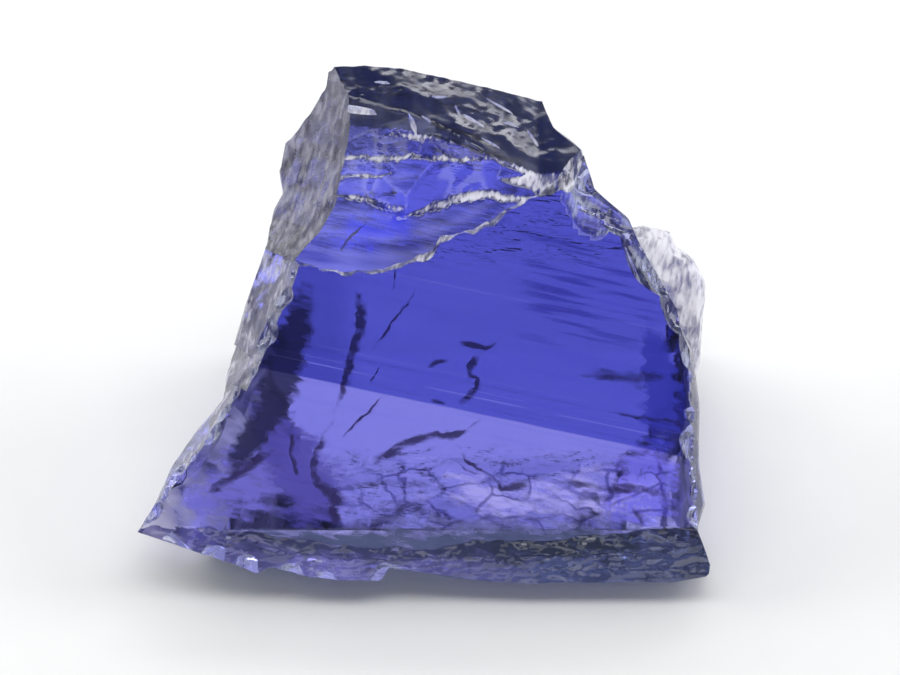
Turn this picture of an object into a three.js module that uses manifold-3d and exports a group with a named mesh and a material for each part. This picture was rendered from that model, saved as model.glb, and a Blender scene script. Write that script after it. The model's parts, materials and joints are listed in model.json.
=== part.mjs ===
// Rough tanzanite: one see-through violet-blue crystal, broken on every side, about 16 mm long.
// It is modelled as the stone came to be: a blank with the outline of its big flat cleavage face,
// from which each fracture takes a bite. All lengths are in millimetres, +Z is up, and the stone
// rests on the flat break under it.
//
// Most breaks are given in the face frame, which is drawn on the flat face: x runs across it to
// the right, y runs up its slope from the lowest point of its lower edge, and z stands out of it.
import * as THREE from "three";
import { mergeVertices } from "three/addons/utils/BufferGeometryUtils.js";
import Module from "manifold-3d";

const FACE_LEAN = 50; // degrees between the flat face and the ground
const FACE_LIFT = 0.95; // height of the face frame's origin over the ground
const BLANK_DEPTH = 16; // how far the blank reaches behind the flat face
const BACK_DISTANCE = 11.5; // from the face frame's origin to the back, along the ground
const BACK_LEAN = 2.6; // degrees that the back leans forward
const FRONT_CONTACT = 3.7; // how far behind the face frame's origin the stone meets the ground
const FRONT_RISE = 0.26; // how steeply the underside rises from there to the lower edge
const REACH = 30; // half size of a break that goes right through
const CLEAR = 2; // how far a break's block stands out over the face
const WELD = 1e-4; // points nearer than this are one point

const radians = THREE.MathUtils.degToRad;

// The stone's outline, seen square on to the flat face, clockwise from the left tip.
// The third number says how far the wall swells out behind the face at that point.
const OUTLINE = [
  [-8.05, 1.65, 0], [-7.45, 2.55, 0.12], [-6.9, 3.6, 0.28], [-6.2, 4.5, 0.3], [-5.5, 5.4, 0.2],
  [-4.95, 6.75, 0.5], [-4.7, 8.15, 0.3], [-4.5, 9.5, 0.05], [-4.3, 10.65, 0], [-4.05, 11.2, 0],
  [-4.15, 11.8, 0], [-3.95, 12.8, 0], [-3.8, 13.75, 0], [-3.1, 14.2, 0], [-2.7, 14.7, 0],
  [-2.2, 14.8, 0], [-0.2, 14.85, 0], [0.6, 14.7, 0], [2.1, 14.4, 0], [3.15, 14.15, 0],
  [3.65, 13.05, 0], [4.4, 12.4, 0], [4.75, 11.25, 0], [5.7, 10.45, 0], [5.95, 9.85, 0],
  [6.6, 8.7, 0], [7.05, 7.85, 0.05], [7.1, 7.45, 0.1], [7.35, 6.75, 0.2], [7.42, 5.3, 0.35],
  [7.42, 3.7, 0.38], [7.5, 2.6, 0.52], [7.6, 1.75, 0.1], [7.85, 1.15, 0], [8, 0.7, 0],
  [7.95, 0.4, 0], [7.1, 0.25, 0], [6, 0.1, 0], [4.9, 0, 0], [3.8, 0.05, 0], [2.7, 0.2, 0],
  [1.5, 0.3, 0], [-0.7, 0.6, 0], [-1, 0.67, 0], [-1.25, 0.25, 0], [-2.1, 0.28, 0],
  [-3.5, 0.45, 0], [-4.35, 0.67, 0], [-4.7, 0.48, 0], [-5.2, 0.67, 0], [-6.3, 1.05, 0],
  [-7.3, 1.4, 0],
];
// How much of that swelling there is at each depth behind the face.
const SWELL = [[0, 0], [-0.8, 0.7], [-2.4, 1], [-4.5, 0.6], [-8, 0.3], [-BLANK_DEPTH, 0.3]];

const wasm = await Module();
wasm.setup();

const FACE = new THREE.Matrix4()
  .makeTranslation(0, 0, FACE_LIFT)
  .multiply(new THREE.Matrix4().makeRotationX(radians(FACE_LEAN)));

// A closed triangle mesh as a solid that can be joined and cut.
function solidOf(geometry) {
  const bare = new THREE.BufferGeometry();
  bare.setAttribute("position", geometry.getAttribute("position"));
  if (geometry.index) bare.setIndex(geometry.index);
  const merged = mergeVertices(bare, WELD);
  return new wasm.Manifold(
    new wasm.Mesh({
      numProp: 3,
      vertProperties: new Float32Array(merged.getAttribute("position").array),
      triVerts: new Uint32Array(merged.index.array),
    }),
  );
}

function centreOf(ring) {
  return ring.reduce((sum, p) => sum.add(p), new THREE.Vector3()).divideScalar(ring.length);
}

// Rings of equal length joined into a tube, with a fan of triangles over each end.
function loft(rings, bottom = centreOf(rings[0])) {
  const count = rings[0].length;
  const points = rings.flat();
  const first = points.push(bottom) - 1;
  const last = points.push(centreOf(rings[rings.length - 1])) - 1;
  const index = [];
  for (let i = 0; i < count; i++) {
    const j = (i + 1) % count;
    index.push(first, j, i);
    for (let low = 0; low + 2 < points.length - count; low += count) {
      const high = low + count;
      index.push(low + i, low + j, high + j, low + i, high + j, high + i);
    }
    const top = (rings.length - 1) * count;
    index.push(last, top + i, top + j);
  }
  return new THREE.BufferGeometry().setFromPoints(points).setIndex(index);
}

// A frame standing on a point, with z along `outward` and y as near to `up` as can be.
function frameAt(point, outward, up) {
  const z = new THREE.Vector3(...outward).normalize();
  const x = new THREE.Vector3(...up).cross(z).normalize();
  const y = new THREE.Vector3().crossVectors(z, x);
  return new THREE.Matrix4().makeBasis(x, y, z).setPosition(...point);
}

// A block of breaks' making: a box whose corners and cells are put where shape(u, v, w) says. u
// and v run from 0 to 1 over the break's surface, and w is 0 on it and 1 at the block's top.
function block(columns, rows, shape) {
  const box = new THREE.BoxGeometry(1, 1, 1, columns, rows, 1);
  const place = box.getAttribute("position");
  for (let i = 0; i < place.count; i++) {
    const [u, v, w] = [place.getX(i), place.getY(i), place.getZ(i)].map((t) => t + 0.5);
    place.setXYZ(i, ...shape(u, v, w));
  }
  return box;
}

// A flat break right through the stone, square on to `outward`.
function flatBreak(point, outward, up) {
  const cut = block(1, 1, (u, v, w) => [(2 * u - 1) * REACH, (2 * v - 1) * REACH, w * REACH]);
  return cut.applyMatrix4(frameAt(point, outward, up));
}

// The height of a line of points, ordered by x, at one x.
function lineAt(line, x) {
  const next = Math.max(1, line.findIndex(([px]) => px >= x));
  const [[x0, y0], [x1, y1]] = [line[next - 1], line[next]];
  return y0 + ((y1 - y0) * (x - x0)) / (x1 - x0);
}

// A break that starts in a step along a line across the face and takes what lies over
// floor(x, y) from there to `reach` above the line, or below it where `reach` is less than 0.
// The step leans out by `run` for each millimetre of its height.
function stepBreak({ line, reach, floor, run = 0.5, rows = 6 }) {
  const side = Math.sign(reach);
  const columns = line.length - 1;
  return block(columns, rows, (u, v, w) => {
    const [x, start] = line[Math.round((side > 0 ? u : 1 - u) * columns)];
    const onFloor = start + reach * v;
    const lean = v === 0 && w === 1 ? side * run * (CLEAR - floor(x, start)) : 0;
    return [x, onFloor - lean, w === 1 ? CLEAR : floor(x, onFloor)];
  });
}

// A step whose far side climbs back to base(x, y) by `rise`, and whose ends run out to nothing.
function terrace({ line, drop, rise, base }) {
  const [first, last] = [line[0][0], line[line.length - 1][0]];
  const overlap = 1.3; // the far side is carried on a little past the surface it meets
  const floor = (x, y) => {
    const along = (2 * (x - first)) / (last - first) - 1;
    return base(x, y) - drop * (1 - along ** 2) + rise * Math.abs(y - lineAt(line, x)) - 0.002;
  };
  return stepBreak({ line, reach: (overlap * drop) / rise, floor, run: 0.6 });
}

// A shell-like scar: a bowl pressed into the plane square on to `outward` at `point`. `half` is
// its half width and half height, `deep` its depth and `turn` its turn in that plane.
function scar({ point, outward, half, deep, turn = 0, up = [0, 1, 0] }) {
  const columns = 24;
  const rows = 5;
  const top = 1.5;
  const lip = Math.sqrt(1 + top / deep);
  const rings = [];
  for (let k = 1; k <= rows + 1; k++) {
    const r = k > rows ? lip : k / rows;
    const ring = [];
    for (let i = 0; i < columns; i++) {
      const angle = (i / columns) * 2 * Math.PI;
      const z = deep * (r * r - 1);
      ring.push(new THREE.Vector3(half[0] * r * Math.cos(angle), half[1] * r * Math.sin(angle), z));
    }
    rings.push(ring);
  }
  return loft(rings, new THREE.Vector3(0, 0, -deep)).applyMatrix4(
    frameAt(point, outward, up).multiply(new THREE.Matrix4().makeRotationZ(radians(turn))),
  );
}

// A slanting break along an edge of the face, which lies on the left hand of the line. It turns
// away from the face by `tilt` degrees, out to `width`, and is hollowed by `hollow`.
function edgeBreak({ line, tilt, width, hollow = 0 }) {
  const points = line.map(([x, y]) => new THREE.Vector3(x, y, 0));
  const columns = points.length - 1;
  const along = points[columns].clone().sub(points[0]).normalize();
  const out = new THREE.Vector3(-along.y, along.x, 0);
  const fall = Math.tan(radians(tilt));
  return block(columns, 6, (u, v, w) => {
    const { x, y } = points[Math.round(u * columns)].clone().addScaledVector(out, v * width);
    return [x, y, w === 1 ? CLEAR : -v * width * fall - 4 * hollow * v * (1 - v)];
  });
}

// The blank: the outline carried straight back from the face, swelling where the wall does.
function blank() {
  const middle = new THREE.Vector3(0.5, 6.5, 0);
  const rings = SWELL.map(([z, share]) =>
    OUTLINE.map(([x, y, flare]) => {
      const p = new THREE.Vector3(x, y, 0);
      const out = p.clone().sub(middle).normalize().multiplyScalar(flare * share);
      return p.add(out).setZ(z);
    }),
  );
  return loft(rings);
}

// The shoulder that stands out behind the face's right side, seen square on to the face.
const SHOULDER = [
  [4.8, 9.3], [5.6, 10.2], [6.2, 10.32], [6.6, 10.22], [7, 10.05], [7.1, 9.75], [7.5, 9.5],
  [7.75, 9.2], [7.95, 8.8], [8, 8.25], [7.9, 7.5], [7.85, 6.6], [7.7, 5.7], [7.2, 5], [6, 5.6],
];
// Depth behind the face, size and sideways shift of the shoulder at each depth.
const SHOULDER_RINGS = [
  [-1.9, 0.5, 0], [-2.3, 0.82, 0.02], [-2.9, 0.96, 0], [-3.7, 1, 0], [-5, 0.94, -0.06],
  [-7.5, 0.9, -0.1], [-10.5, 0.86, -0.14],
];

function shoulder() {
  const middle = new THREE.Vector3(6.1, 7.9, 0);
  const rings = SHOULDER_RINGS.map(([z, size, shift], k) =>
    SHOULDER.map(([x, y], i) => {
      const uneven = 1 + 0.035 * Math.sin(2.4 * i + 1.9 * k);
      const p = new THREE.Vector3(x, y, 0).sub(middle).multiplyScalar(size * uneven).add(middle);
      return p.add(new THREE.Vector3(shift, 0, z));
    }),
  );
  return loft(rings);
}

// The scooped break above the flat face. Its lower edge is the step that crosses the stone.
const SCOOP_STEP = [
  [-6, 9.7], [-3.75, 9.3], [-2.95, 9.05], [-2.25, 8.93], [-1.25, 9], [-0.5, 9.25], [-0.05, 9.42],
  [0.25, 9.6], [0.45, 9.93], [1, 10.03], [1.5, 10.2], [2.1, 10.55], [2.65, 10.9], [3.2, 11.15],
  [3.65, 11.5], [4.1, 12.1], [6, 14],
];
const SCOOP_DEEP = 0.33;
const scoopFloor = (x, y) =>
  -SCOOP_DEEP - 0.1 * (y - 9) - 0.012 * (y - 9) ** 2 + 0.01 * (x + 0.5) ** 2;

// The break along the crest, which turns away over the top of the scoop.
const CREST_STEP = [
  [-6, 13.6], [-3.2, 13.5], [-1.6, 13.3], [-0.6, 13.25], [0.2, 13.05], [1.1, 12.8], [2, 12.45],
  [3.2, 12], [6, 12.2],
];
const crestFloor = (x, y) => -0.93 - 0.86 * (y - 13.2) - 0.12 * (x - 0.5);

// Smaller steps inside the scoop, from its lower edge to the crest.
const TERRACES = [
  { drop: 0.16, rise: 0.12, line: [[-0.95, 10.4], [-0.4, 10.46], [0.15, 10.66], [0.7, 10.82], [1.3, 10.97], [1.9, 11], [2.6, 10.9], [3.1, 11]] },
  { drop: 0.12, rise: 0.14, line: [[-2.6, 11.1], [-2.1, 11.02], [-1.5, 10.85], [-0.9, 10.62], [-0.3, 10.75]] },
  { drop: 0.1, rise: 0.16, line: [[-2.7, 11.6], [-2, 11.56], [-1.3, 11.58], [-0.8, 11.7]] },
  { drop: 0.12, rise: 0.16, line: [[-2.5, 12.15], [-1.8, 12.1], [-1.2, 12.02], [-0.6, 12.1], [0, 12.3]] },
  { drop: 0.3, rise: 0.3, line: [[1.6, 11.45], [2.1, 11.3], [2.95, 11.22], [3.5, 11.5], [4.3, 12.2]] },
  { drop: 0.16, rise: 0.2, line: [[-0.5, 12.15], [0.3, 12.1], [1, 11.95], [1.9, 12.05], [2.6, 12.3]] },
  { drop: 0.12, rise: 0.2, line: [[-1.6, 12.75], [-0.6, 12.7], [0.3, 12.65], [1.1, 12.4], [1.8, 12.5]] },
];

// The layered break under the face's lower edge: each layer lies deeper and lower than the last.
const LOWER_LAYERS = [
  {
    slope: 0.16, sink: 0.03,
    line: [
      [-8.6, 2.15], [-7.3, 2.02], [-6.2, 1.8], [-5.4, 1.62], [-4.9, 1.72], [-4.2, 1.5], [-3.1, 1.38],
      [-2.2, 1.3], [-1.5, 1.12], [-0.9, 1.2], [-0.2, 1.1], [0.6, 1.22], [1.3, 1.42], [1.8, 1.36],
      [2.7, 1.42], [3.6, 1.36], [4.6, 1.55], [5.7, 1.62], [6.7, 1.78], [7.5, 1.8], [8.6, 2],
    ],
  },
  {
    slope: 0.2, sink: 0.12,
    line: [
      [-5.6, 1.05], [-4.5, 1.12], [-3.4, 1.02], [-2.3, 0.88], [-1.4, 0.86], [-0.4, 0.82], [0.8, 0.95],
      [1.9, 0.92], [3, 0.98], [4.2, 0.94], [5.4, 1.05], [6.6, 1.1], [7.4, 1.22], [8.6, 1.3],
    ],
  },
  {
    slope: 0.24, sink: 0.22,
    line: [[-0.6, 0.52], [0.6, 0.58], [1.8, 0.52], [3.1, 0.54], [4.4, 0.5], [5.6, 0.56], [6.8, 0.56], [8.2, 0.7]],
  },
];

// The slanting breaks along the face's sides.
const EDGES = [
  {
    // The hollow band that runs up the left of the scoop.
    tilt: 57, width: 5, hollow: 0.35,
    line: [[-3.95, 8.6], [-3.5, 9.25], [-2.75, 10], [-2.27, 10.8], [-1.91, 11.8], [-1.68, 12.9], [-1.6, 13.75], [-1.9, 15]],
  },
  { tilt: 63, width: 3, hollow: 0.1, line: [[-5, 5.6], [-4.6, 6.4], [-4.15, 7.5], [-3.75, 8.4], [-3.5, 9.15]] },
  { tilt: 74, width: 3, hollow: 0.05, line: [[-8.3, 1.3], [-7.3, 2.6], [-6.1, 4.2], [-5.35, 5.35], [-4.7, 6.4]] },
  { tilt: 52, width: 3, hollow: 0.1, line: [[3.4, 13.4], [3.9, 12.3], [4.5, 11.5], [5, 10.7]] },
];

function faceBreaks() {
  const scoop = stepBreak({ line: SCOOP_STEP, reach: 8, floor: scoopFloor, rows: 12 });
  const crest = stepBreak({ line: CREST_STEP, reach: 5, floor: crestFloor, rows: 4 });
  const terraces = TERRACES.map((each) => terrace({ ...each, base: scoopFloor }));
  const layers = LOWER_LAYERS.map(({ line, slope, sink }) => {
    const floor = (x, y) => -sink - slope * (1.5 - y) - 0.02 * Math.sin(3 * x);
    return stepBreak({ line, reach: -4, floor, run: 0.4, rows: 3 });
  });
  return [
    scoop, crest, ...terraces, ...layers, ...EDGES.map(edgeBreak),
  ];
}

// Chips along the face's edges, in the face frame.
const CHIPS = [
  { point: [5.2, 10.35, -0.1], outward: [0.5, 0.5, 0.7], half: [0.7, 0.45], deep: 0.16, turn: -30 },
  { point: [4.7, 10.75, -0.2], outward: [0.3, 0.5, 0.8], half: [0.55, 0.35], deep: 0.12, turn: -20 },
  { point: [5.85, 9.8, -0.1], outward: [0.7, 0.3, 0.65], half: [0.4, 0.6], deep: 0.14, turn: 20 },
  { point: [6.45, 8.9, -0.15], outward: [0.8, 0.3, 0.5], half: [0.5, 0.75], deep: 0.2, turn: 25 },
  { point: [6.85, 8.0, -0.15], outward: [0.85, 0.1, 0.5], half: [0.45, 0.65], deep: 0.2, turn: 20 },
  { point: [7.25, 6.8, -0.1], outward: [0.9, 0.1, 0.4], half: [0.3, 0.5], deep: 0.1, turn: 10 },
  { point: [4.55, 10.6, 0], outward: [0.12, 0.1, 1], half: [0.85, 0.9], deep: 0.1, turn: 0 },
  { point: [-4.05, 8.35, -0.3], outward: [-0.7, 0.1, 0.7], half: [0.5, 0.5], deep: 0.2, turn: -20 },
  { point: [-4.45, 7.25, -0.4], outward: [-0.75, 0.2, 0.6], half: [0.5, 0.6], deep: 0.2, turn: -20 },
  { point: [-1.1, 0.5, -0.3], outward: [0.1, -0.8, 0.6], half: [0.5, 0.45], deep: 0.25, turn: 0 },
];

// Breaks in the ground's frame, where y runs away from the viewer.
function groundBreaks() {
  const up = [0, 0, 1];
  return [
    flatBreak([0, 0, 0], [0, 0, -1], [0, 1, 0]),
    flatBreak([0, FRONT_CONTACT, 0], [0, -FRONT_RISE, -1], [0, 1, 0]),
    flatBreak([0, BACK_DISTANCE, 0], [0, 1, Math.tan(radians(BACK_LEAN))], up),
    flatBreak([-5.8, 9, 3], [-0.9, 0.42, -0.05], up),
    scar({ point: [8.25, 11.1, 1.2], outward: [0.7, 0.7, -0.1], half: [1.7, 1.6], deep: 0.4, up }),
    scar({ point: [-6.6, 4.2, 0.6], outward: [-0.7, 0.3, -0.8], half: [3, 1.6], deep: 0.5, up }),
    scar({ point: [4.8, 11.6, 9.4], outward: [0.6, 0.8, 0.6], half: [2.2, 2], deep: 0.5, up }),
    scar({ point: [0.4, 11.4, 11], outward: [0.15, 0.65, 0.8], half: [1.7, 1.1], deep: 0.35, up }),
    scar({ point: [7.6, 10.2, 4], outward: [0.9, 0.35, 0.3], half: [1, 1.7], deep: 0.3, up }),
    scar({ point: [-4.9, 8.7, 6.6], outward: [-0.9, 0.42, 0.12], half: [1.5, 1.7], deep: 0.3, up }),
    scar({ point: [-6.3, 5.4, 2.6], outward: [-0.88, 0.36, -0.1], half: [1.7, 1.5], deep: 0.35, up }),
    scar({ point: [7.55, 5.6, 1.3], outward: [0.95, -0.1, 0.1], half: [1.8, 1.2], deep: 0.3, up }),
  ];
}

// A solid's surface as a three.js geometry.
function geometryOf(solid) {
  const { vertProperties, triVerts } = solid.getMesh();
  const shape = new THREE.BufferGeometry();
  shape.setAttribute("position", new THREE.BufferAttribute(vertProperties, 3));
  shape.setIndex(new THREE.BufferAttribute(triVerts, 1));
  return shape;
}

// The stone stands with the middle of its base over the origin.
function stoodOnOrigin(shape) {
  shape.computeBoundingBox();
  const { min, max } = shape.boundingBox;
  return shape.translate(-(min.x + max.x) / 2, -(min.y + max.y) / 2, -min.z);
}

function crystalShape() {
  let solid = solidOf(blank()).add(solidOf(shoulder()));
  for (const each of [...faceBreaks(), ...CHIPS.map(scar)]) solid = solid.subtract(solidOf(each));
  solid = solidOf(geometryOf(solid).applyMatrix4(FACE));
  for (const each of groundBreaks()) solid = solid.subtract(solidOf(each));
  return stoodOnOrigin(geometryOf(solid));
}

function crystal() {
  const finish = new THREE.MeshStandardMaterial({ color: 0x4a4bbb, roughness: 0.08, metalness: 0 });
  const mesh = new THREE.Mesh(crystalShape(), finish);
  mesh.name = "tanzanite_crystal";
  return mesh;
}

const group = new THREE.Group();
group.add(crystal());
export default group;
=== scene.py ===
# %% [markdown]
# # A rough tanzanite, broken on every side
# This lesson finishes one see-through crystal. The imported model holds its plain solid, at its
# real size. Here the same stone is broken out of a blank once more, with finer tools, so that
# each fracture gets its own ripples, steps and chips, and then it is given its glassy finish.
# The imported model is loaded first.

# %% The imported model
import json
import math

import bpy
import numpy as np
from mathutils import Matrix, Vector

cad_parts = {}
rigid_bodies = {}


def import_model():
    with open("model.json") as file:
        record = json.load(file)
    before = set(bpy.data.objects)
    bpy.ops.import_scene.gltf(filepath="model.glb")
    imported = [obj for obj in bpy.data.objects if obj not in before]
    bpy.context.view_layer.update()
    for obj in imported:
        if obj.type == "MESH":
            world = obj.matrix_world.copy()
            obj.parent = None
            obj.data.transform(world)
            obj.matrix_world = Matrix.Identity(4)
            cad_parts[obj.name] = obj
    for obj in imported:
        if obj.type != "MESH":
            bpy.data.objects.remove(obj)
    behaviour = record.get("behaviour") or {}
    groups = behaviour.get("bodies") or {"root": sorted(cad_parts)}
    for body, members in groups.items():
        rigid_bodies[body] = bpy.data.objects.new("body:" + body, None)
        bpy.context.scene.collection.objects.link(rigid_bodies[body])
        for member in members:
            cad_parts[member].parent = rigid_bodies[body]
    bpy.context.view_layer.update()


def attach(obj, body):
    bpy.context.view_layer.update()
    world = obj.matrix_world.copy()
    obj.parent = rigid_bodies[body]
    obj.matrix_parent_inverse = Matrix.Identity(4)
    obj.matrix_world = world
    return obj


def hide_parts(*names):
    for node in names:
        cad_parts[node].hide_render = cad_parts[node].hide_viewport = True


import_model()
CRYSTAL = "tanzanite_crystal"

# %% [markdown]
# ## Two frames
# Most breaks are easiest to describe on the broad flat face: x runs across it, y up its slope
# and z out of it, in millimetres. The face leans back from the ground, so a small function
# carries points from the face's frame to the ground's frame. The stone could be modelled in
# metres, but numbers near 1 are kinder to the cuts, so it is scaled down at the very end.

# %% Frames and sizes
MM = 0.001
FACE_LEAN = math.radians(50)
FACE_LIFT = 0.95  # how high the face frame's origin lies over the ground
STAND = np.array([0.0025, 5.9775, 0.0])  # the ground frame's point that the origin stands under


def on_ground(points):
    """Points of the face's frame, carried to the ground's frame."""
    x, y, z = np.moveaxis(np.asarray(points, float), -1, 0)
    up = FACE_LIFT + y * math.sin(FACE_LEAN) + z * math.cos(FACE_LEAN)
    return np.stack([x, y * math.cos(FACE_LEAN) - z * math.sin(FACE_LEAN), up], axis=-1)


def on_face(points):
    """Points of the ground's frame, carried back to the face's frame."""
    x, y, up = np.moveaxis(np.asarray(points, float), -1, 0)
    up = up - FACE_LIFT
    cos, sin = math.cos(FACE_LEAN), math.sin(FACE_LEAN)
    return np.stack([x, y * cos + up * sin, up * cos - y * sin], axis=-1)


# %% [markdown]
# ## The camera
# The photograph was taken square on to the broad face, from 40 degrees above the ground. A long
# lens from 200 mm away gives the same flat perspective. The camera comes early, so that every
# step can be looked at.

# %% Camera
CAMERA_ELEVATION = math.radians(40)
CAMERA_DISTANCE = 200 * MM
PICTURE_WIDTH = 25.2 * MM  # what the picture spans at the stone
SENSOR = 36  # the camera's sensor is this many millimetres wide
LOOKED_AT = (0.7, 7.098, 0)  # in the face's frame


def camera():
    data = bpy.data.cameras.new("photo_camera")
    data.sensor_width = SENSOR
    data.lens = SENSOR * CAMERA_DISTANCE / PICTURE_WIDTH
    data.clip_start = 10 * MM
    target = Vector((on_ground(LOOKED_AT) - STAND) * MM)
    away = Vector((0, -math.cos(CAMERA_ELEVATION), math.sin(CAMERA_ELEVATION)))
    body = bpy.data.objects.new("photo_camera", data)
    body.location = target + away * CAMERA_DISTANCE
    body.rotation_euler = (-away).to_track_quat("-Z", "Y").to_euler()
    bpy.context.scene.collection.objects.link(body)
    return body


bpy.context.scene.camera = camera()
print("lens in mm:", round(bpy.context.scene.camera.data.lens, 1))

# %% [markdown]
# ## Relief
# Broken crystal shows a few kinds of relief again and again: long soft waves, shell-like bites
# that meet in sharp ridges, and rings of ripples around the point where the blow landed. They
# could be sculpted, but as formulas they are exact, quick and the same on every run. Each is a
# height in millimetres over the surface of a break.

# %% Relief formulas
WAVES = 9  # how many sine waves, each with its own length and direction, are added up


def waves(x, y, length, seed, stretch=1.0, turn=0.0):
    """A soft uneven height from about -1 to 1, with bumps `length` across and longer along `turn`."""
    draw = np.random.default_rng(seed)
    cos, sin = math.cos(turn), math.sin(turn)
    along, across = (x * cos + y * sin) / stretch, y * cos - x * sin
    total = 0
    for _ in range(WAVES):
        angle, phase = draw.uniform(0, math.tau, 2)
        pitch = math.tau / (length * draw.uniform(0.6, 1.5))
        total = total + np.sin((along * math.cos(angle) + across * math.sin(angle)) * pitch + phase)
    return total / math.sqrt(2 * WAVES)


def bites(x, y, size, depth, seed, box, stretch=1.0, turn=0.0):
    """Shell-like bites side by side that fill `box`: hollows `depth` deep with sharp ridges between."""
    draw = np.random.default_rng(seed)
    (x0, y0), (x1, y1) = box
    count = max(4, int((x1 - x0) * (y1 - y0) / (size**2 * stretch)))
    cos, sin = math.cos(turn), math.sin(turn)
    height = np.full(np.broadcast(x, y).shape, np.inf)
    for _ in range(count):
        cx, cy = draw.uniform(x0, x1), draw.uniform(y0, y1)
        along = ((x - cx) * cos + (y - cy) * sin) / stretch
        across = (y - cy) * cos - (x - cx) * sin
        tilt, sink = draw.uniform(-0.5, 0.5), draw.uniform(0, 0.5)
        bowl = (along**2 + across**2) / size**2 + tilt * across / size + sink
        height = np.minimum(height, depth * bowl)
    return np.minimum(height, 3 * depth) - depth


def rings(x, y, centre, pitch, seed):
    """Ripples in rings around the point where a blow landed, from -1 to 1."""
    far = np.hypot(x - centre[0], y - centre[1])
    return np.sin(math.tau * far / pitch + 2 * waves(x, y, 8 * pitch, seed))


def smooth(value, low, high):
    """0 below `low`, 1 above `high` and a soft rise between."""
    share = np.clip((value - low) / (high - low), 0, 1)
    return share * share * (3 - 2 * share)


# %% [markdown]
# ## Finishes
# Every break has its own finish: the broad face is like glass, the band up the left is silky and
# the fresh chips are white with crushed crystal. The crest, the band, the rim, the undercut and the
# scoop are tinted dark as painted shade, and the near-black underside is painted shadow that dims
# the light reaching the paper through the stone. The band's grey crust is painted sheen, and the
# white crust on the scoop's risers a painted highlight. Separate materials would be the usual way,
# but one clear body must keep one material all round. So each face carries its finish's number,
# which gives a tint for what is seen through it, a frost that blurs it, and how much white crust
# lies on it.

# %% Table of finishes
# Each finish is its tint, its frost (0 clear, 1 dull), its share of crust and the crust's colour.
FINISHES_AND_PAINTED_SHADE = {
    "wall": ((0.6, 0.62, 0.8), 0.25, 0.0, (0, 0, 0)),
    "broad_face": ((1.0, 1.0, 1.0), 0.0, 0.0, (0, 0, 0)),
    # the scoop's and the risers' deep blue tint is painted shade; the risers' white crust is a painted
    # highlight
    "scoop": ((0.1, 0.12, 0.54), 0.0, 0.0, (0, 0, 0)),
    "riser": ((0.1, 0.12, 0.54), 0.0, 0.62, (0.8, 0.8, 0.9)),
    # the crest's near-black tint is painted shade
    "crest": ((0.04, 0.075, 0.12), 0.18, 0.0, (0, 0, 0)),
    # the band's dark tint is painted shade, and its grey crust painted sheen
    "band": ((0.06, 0.06, 0.1), 0.3, 0.4, (0.36, 0.36, 0.44)),
    # the left edge's pale crust is partly painted highlight
    "left_edge": ((0.4, 0.42, 0.6), 0.15, 0.36, (0.6, 0.6, 0.7)),
    # the rim's dark tint is painted shade
    "rim": ((0.22, 0.26, 0.34), 0.04, 0.0, (0, 0, 0)),
    "shoulder": ((1.0, 1.0, 1.0), 0.5, 0.62, (0.86, 0.85, 0.93)),
    "chip": ((0.7, 0.74, 0.95), 0.05, 0.3, (0.55, 0.6, 0.8)),
    # the underside's near-black tint is painted shadow on the paper under the stone
    "underside": ((0.02, 0.05, 0.07), 0.0, 0.0, (0, 0, 0)),
    # the undercut's dark tint is painted shade
    "undercut": ((0.1, 0.13, 0.2), 0.4, 0.0, (0, 0, 0)),
    "back": ((1.0, 1.0, 1.0), 0.0, 0.0, (0, 0, 0)),
    "scar": ((0.75, 0.75, 0.95), 0.45, 0.0, (0, 0, 0)),
}
NUMBER = {name: place for place, name in enumerate(FINISHES_AND_PAINTED_SHADE)}
print(len(FINISHES_AND_PAINTED_SHADE), "finishes")

# %% [markdown]
# ## Blanks and cutters
# A blank is a loft through rings, and a cutter is a block whose lower side is the break's surface.
# Both could be drawn with modifiers, but here each is a plain closed mesh from a formula, whose
# faces carry the number of their finish. A cut is a boolean modifier with the manifold solver,
# which is fast and hands the numbers on to the faces that it leaves behind.

# %% Making closed meshes
stock = bpy.data.collections.new("cutters")
bpy.context.scene.collection.children.link(stock)


def solid(name, points, faces, finish):
    """A closed mesh in the ground's frame, in millimetres, every face with one finish."""
    mesh = bpy.data.meshes.new(name)
    mesh.from_pydata(points.tolist(), [], faces)
    number = mesh.attributes.new("finish", "INT", "FACE")
    number.data.foreach_set("value", np.full(len(mesh.polygons), NUMBER[finish], np.int32))
    body = bpy.data.objects.new(name, mesh)
    stock.objects.link(body)
    return body


def loft(name, layers, finish, place=on_ground):
    """Rings of equal length joined into a tube, closed by a fan of triangles at each end."""
    layers = np.asarray(layers, float)
    depth, count = layers.shape[:2]
    ends = np.stack([layers[0].mean(axis=0), layers[-1].mean(axis=0)])
    points = place(np.concatenate([layers.reshape(-1, 3), ends]))
    here = np.arange(count)
    after = np.roll(here, -1)
    faces = []
    for low in range(0, (depth - 1) * count, count):
        high = low + count
        faces += np.stack([low + here, low + after, high + after, high + here], axis=-1).tolist()
    first, last, top = depth * count, depth * count + 1, (depth - 1) * count
    faces += np.stack([np.full(count, first), after, here], axis=-1).tolist()
    faces += np.stack([np.full(count, last), top + here, top + after], axis=-1).tolist()
    return solid(name, points, faces, finish)


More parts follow.
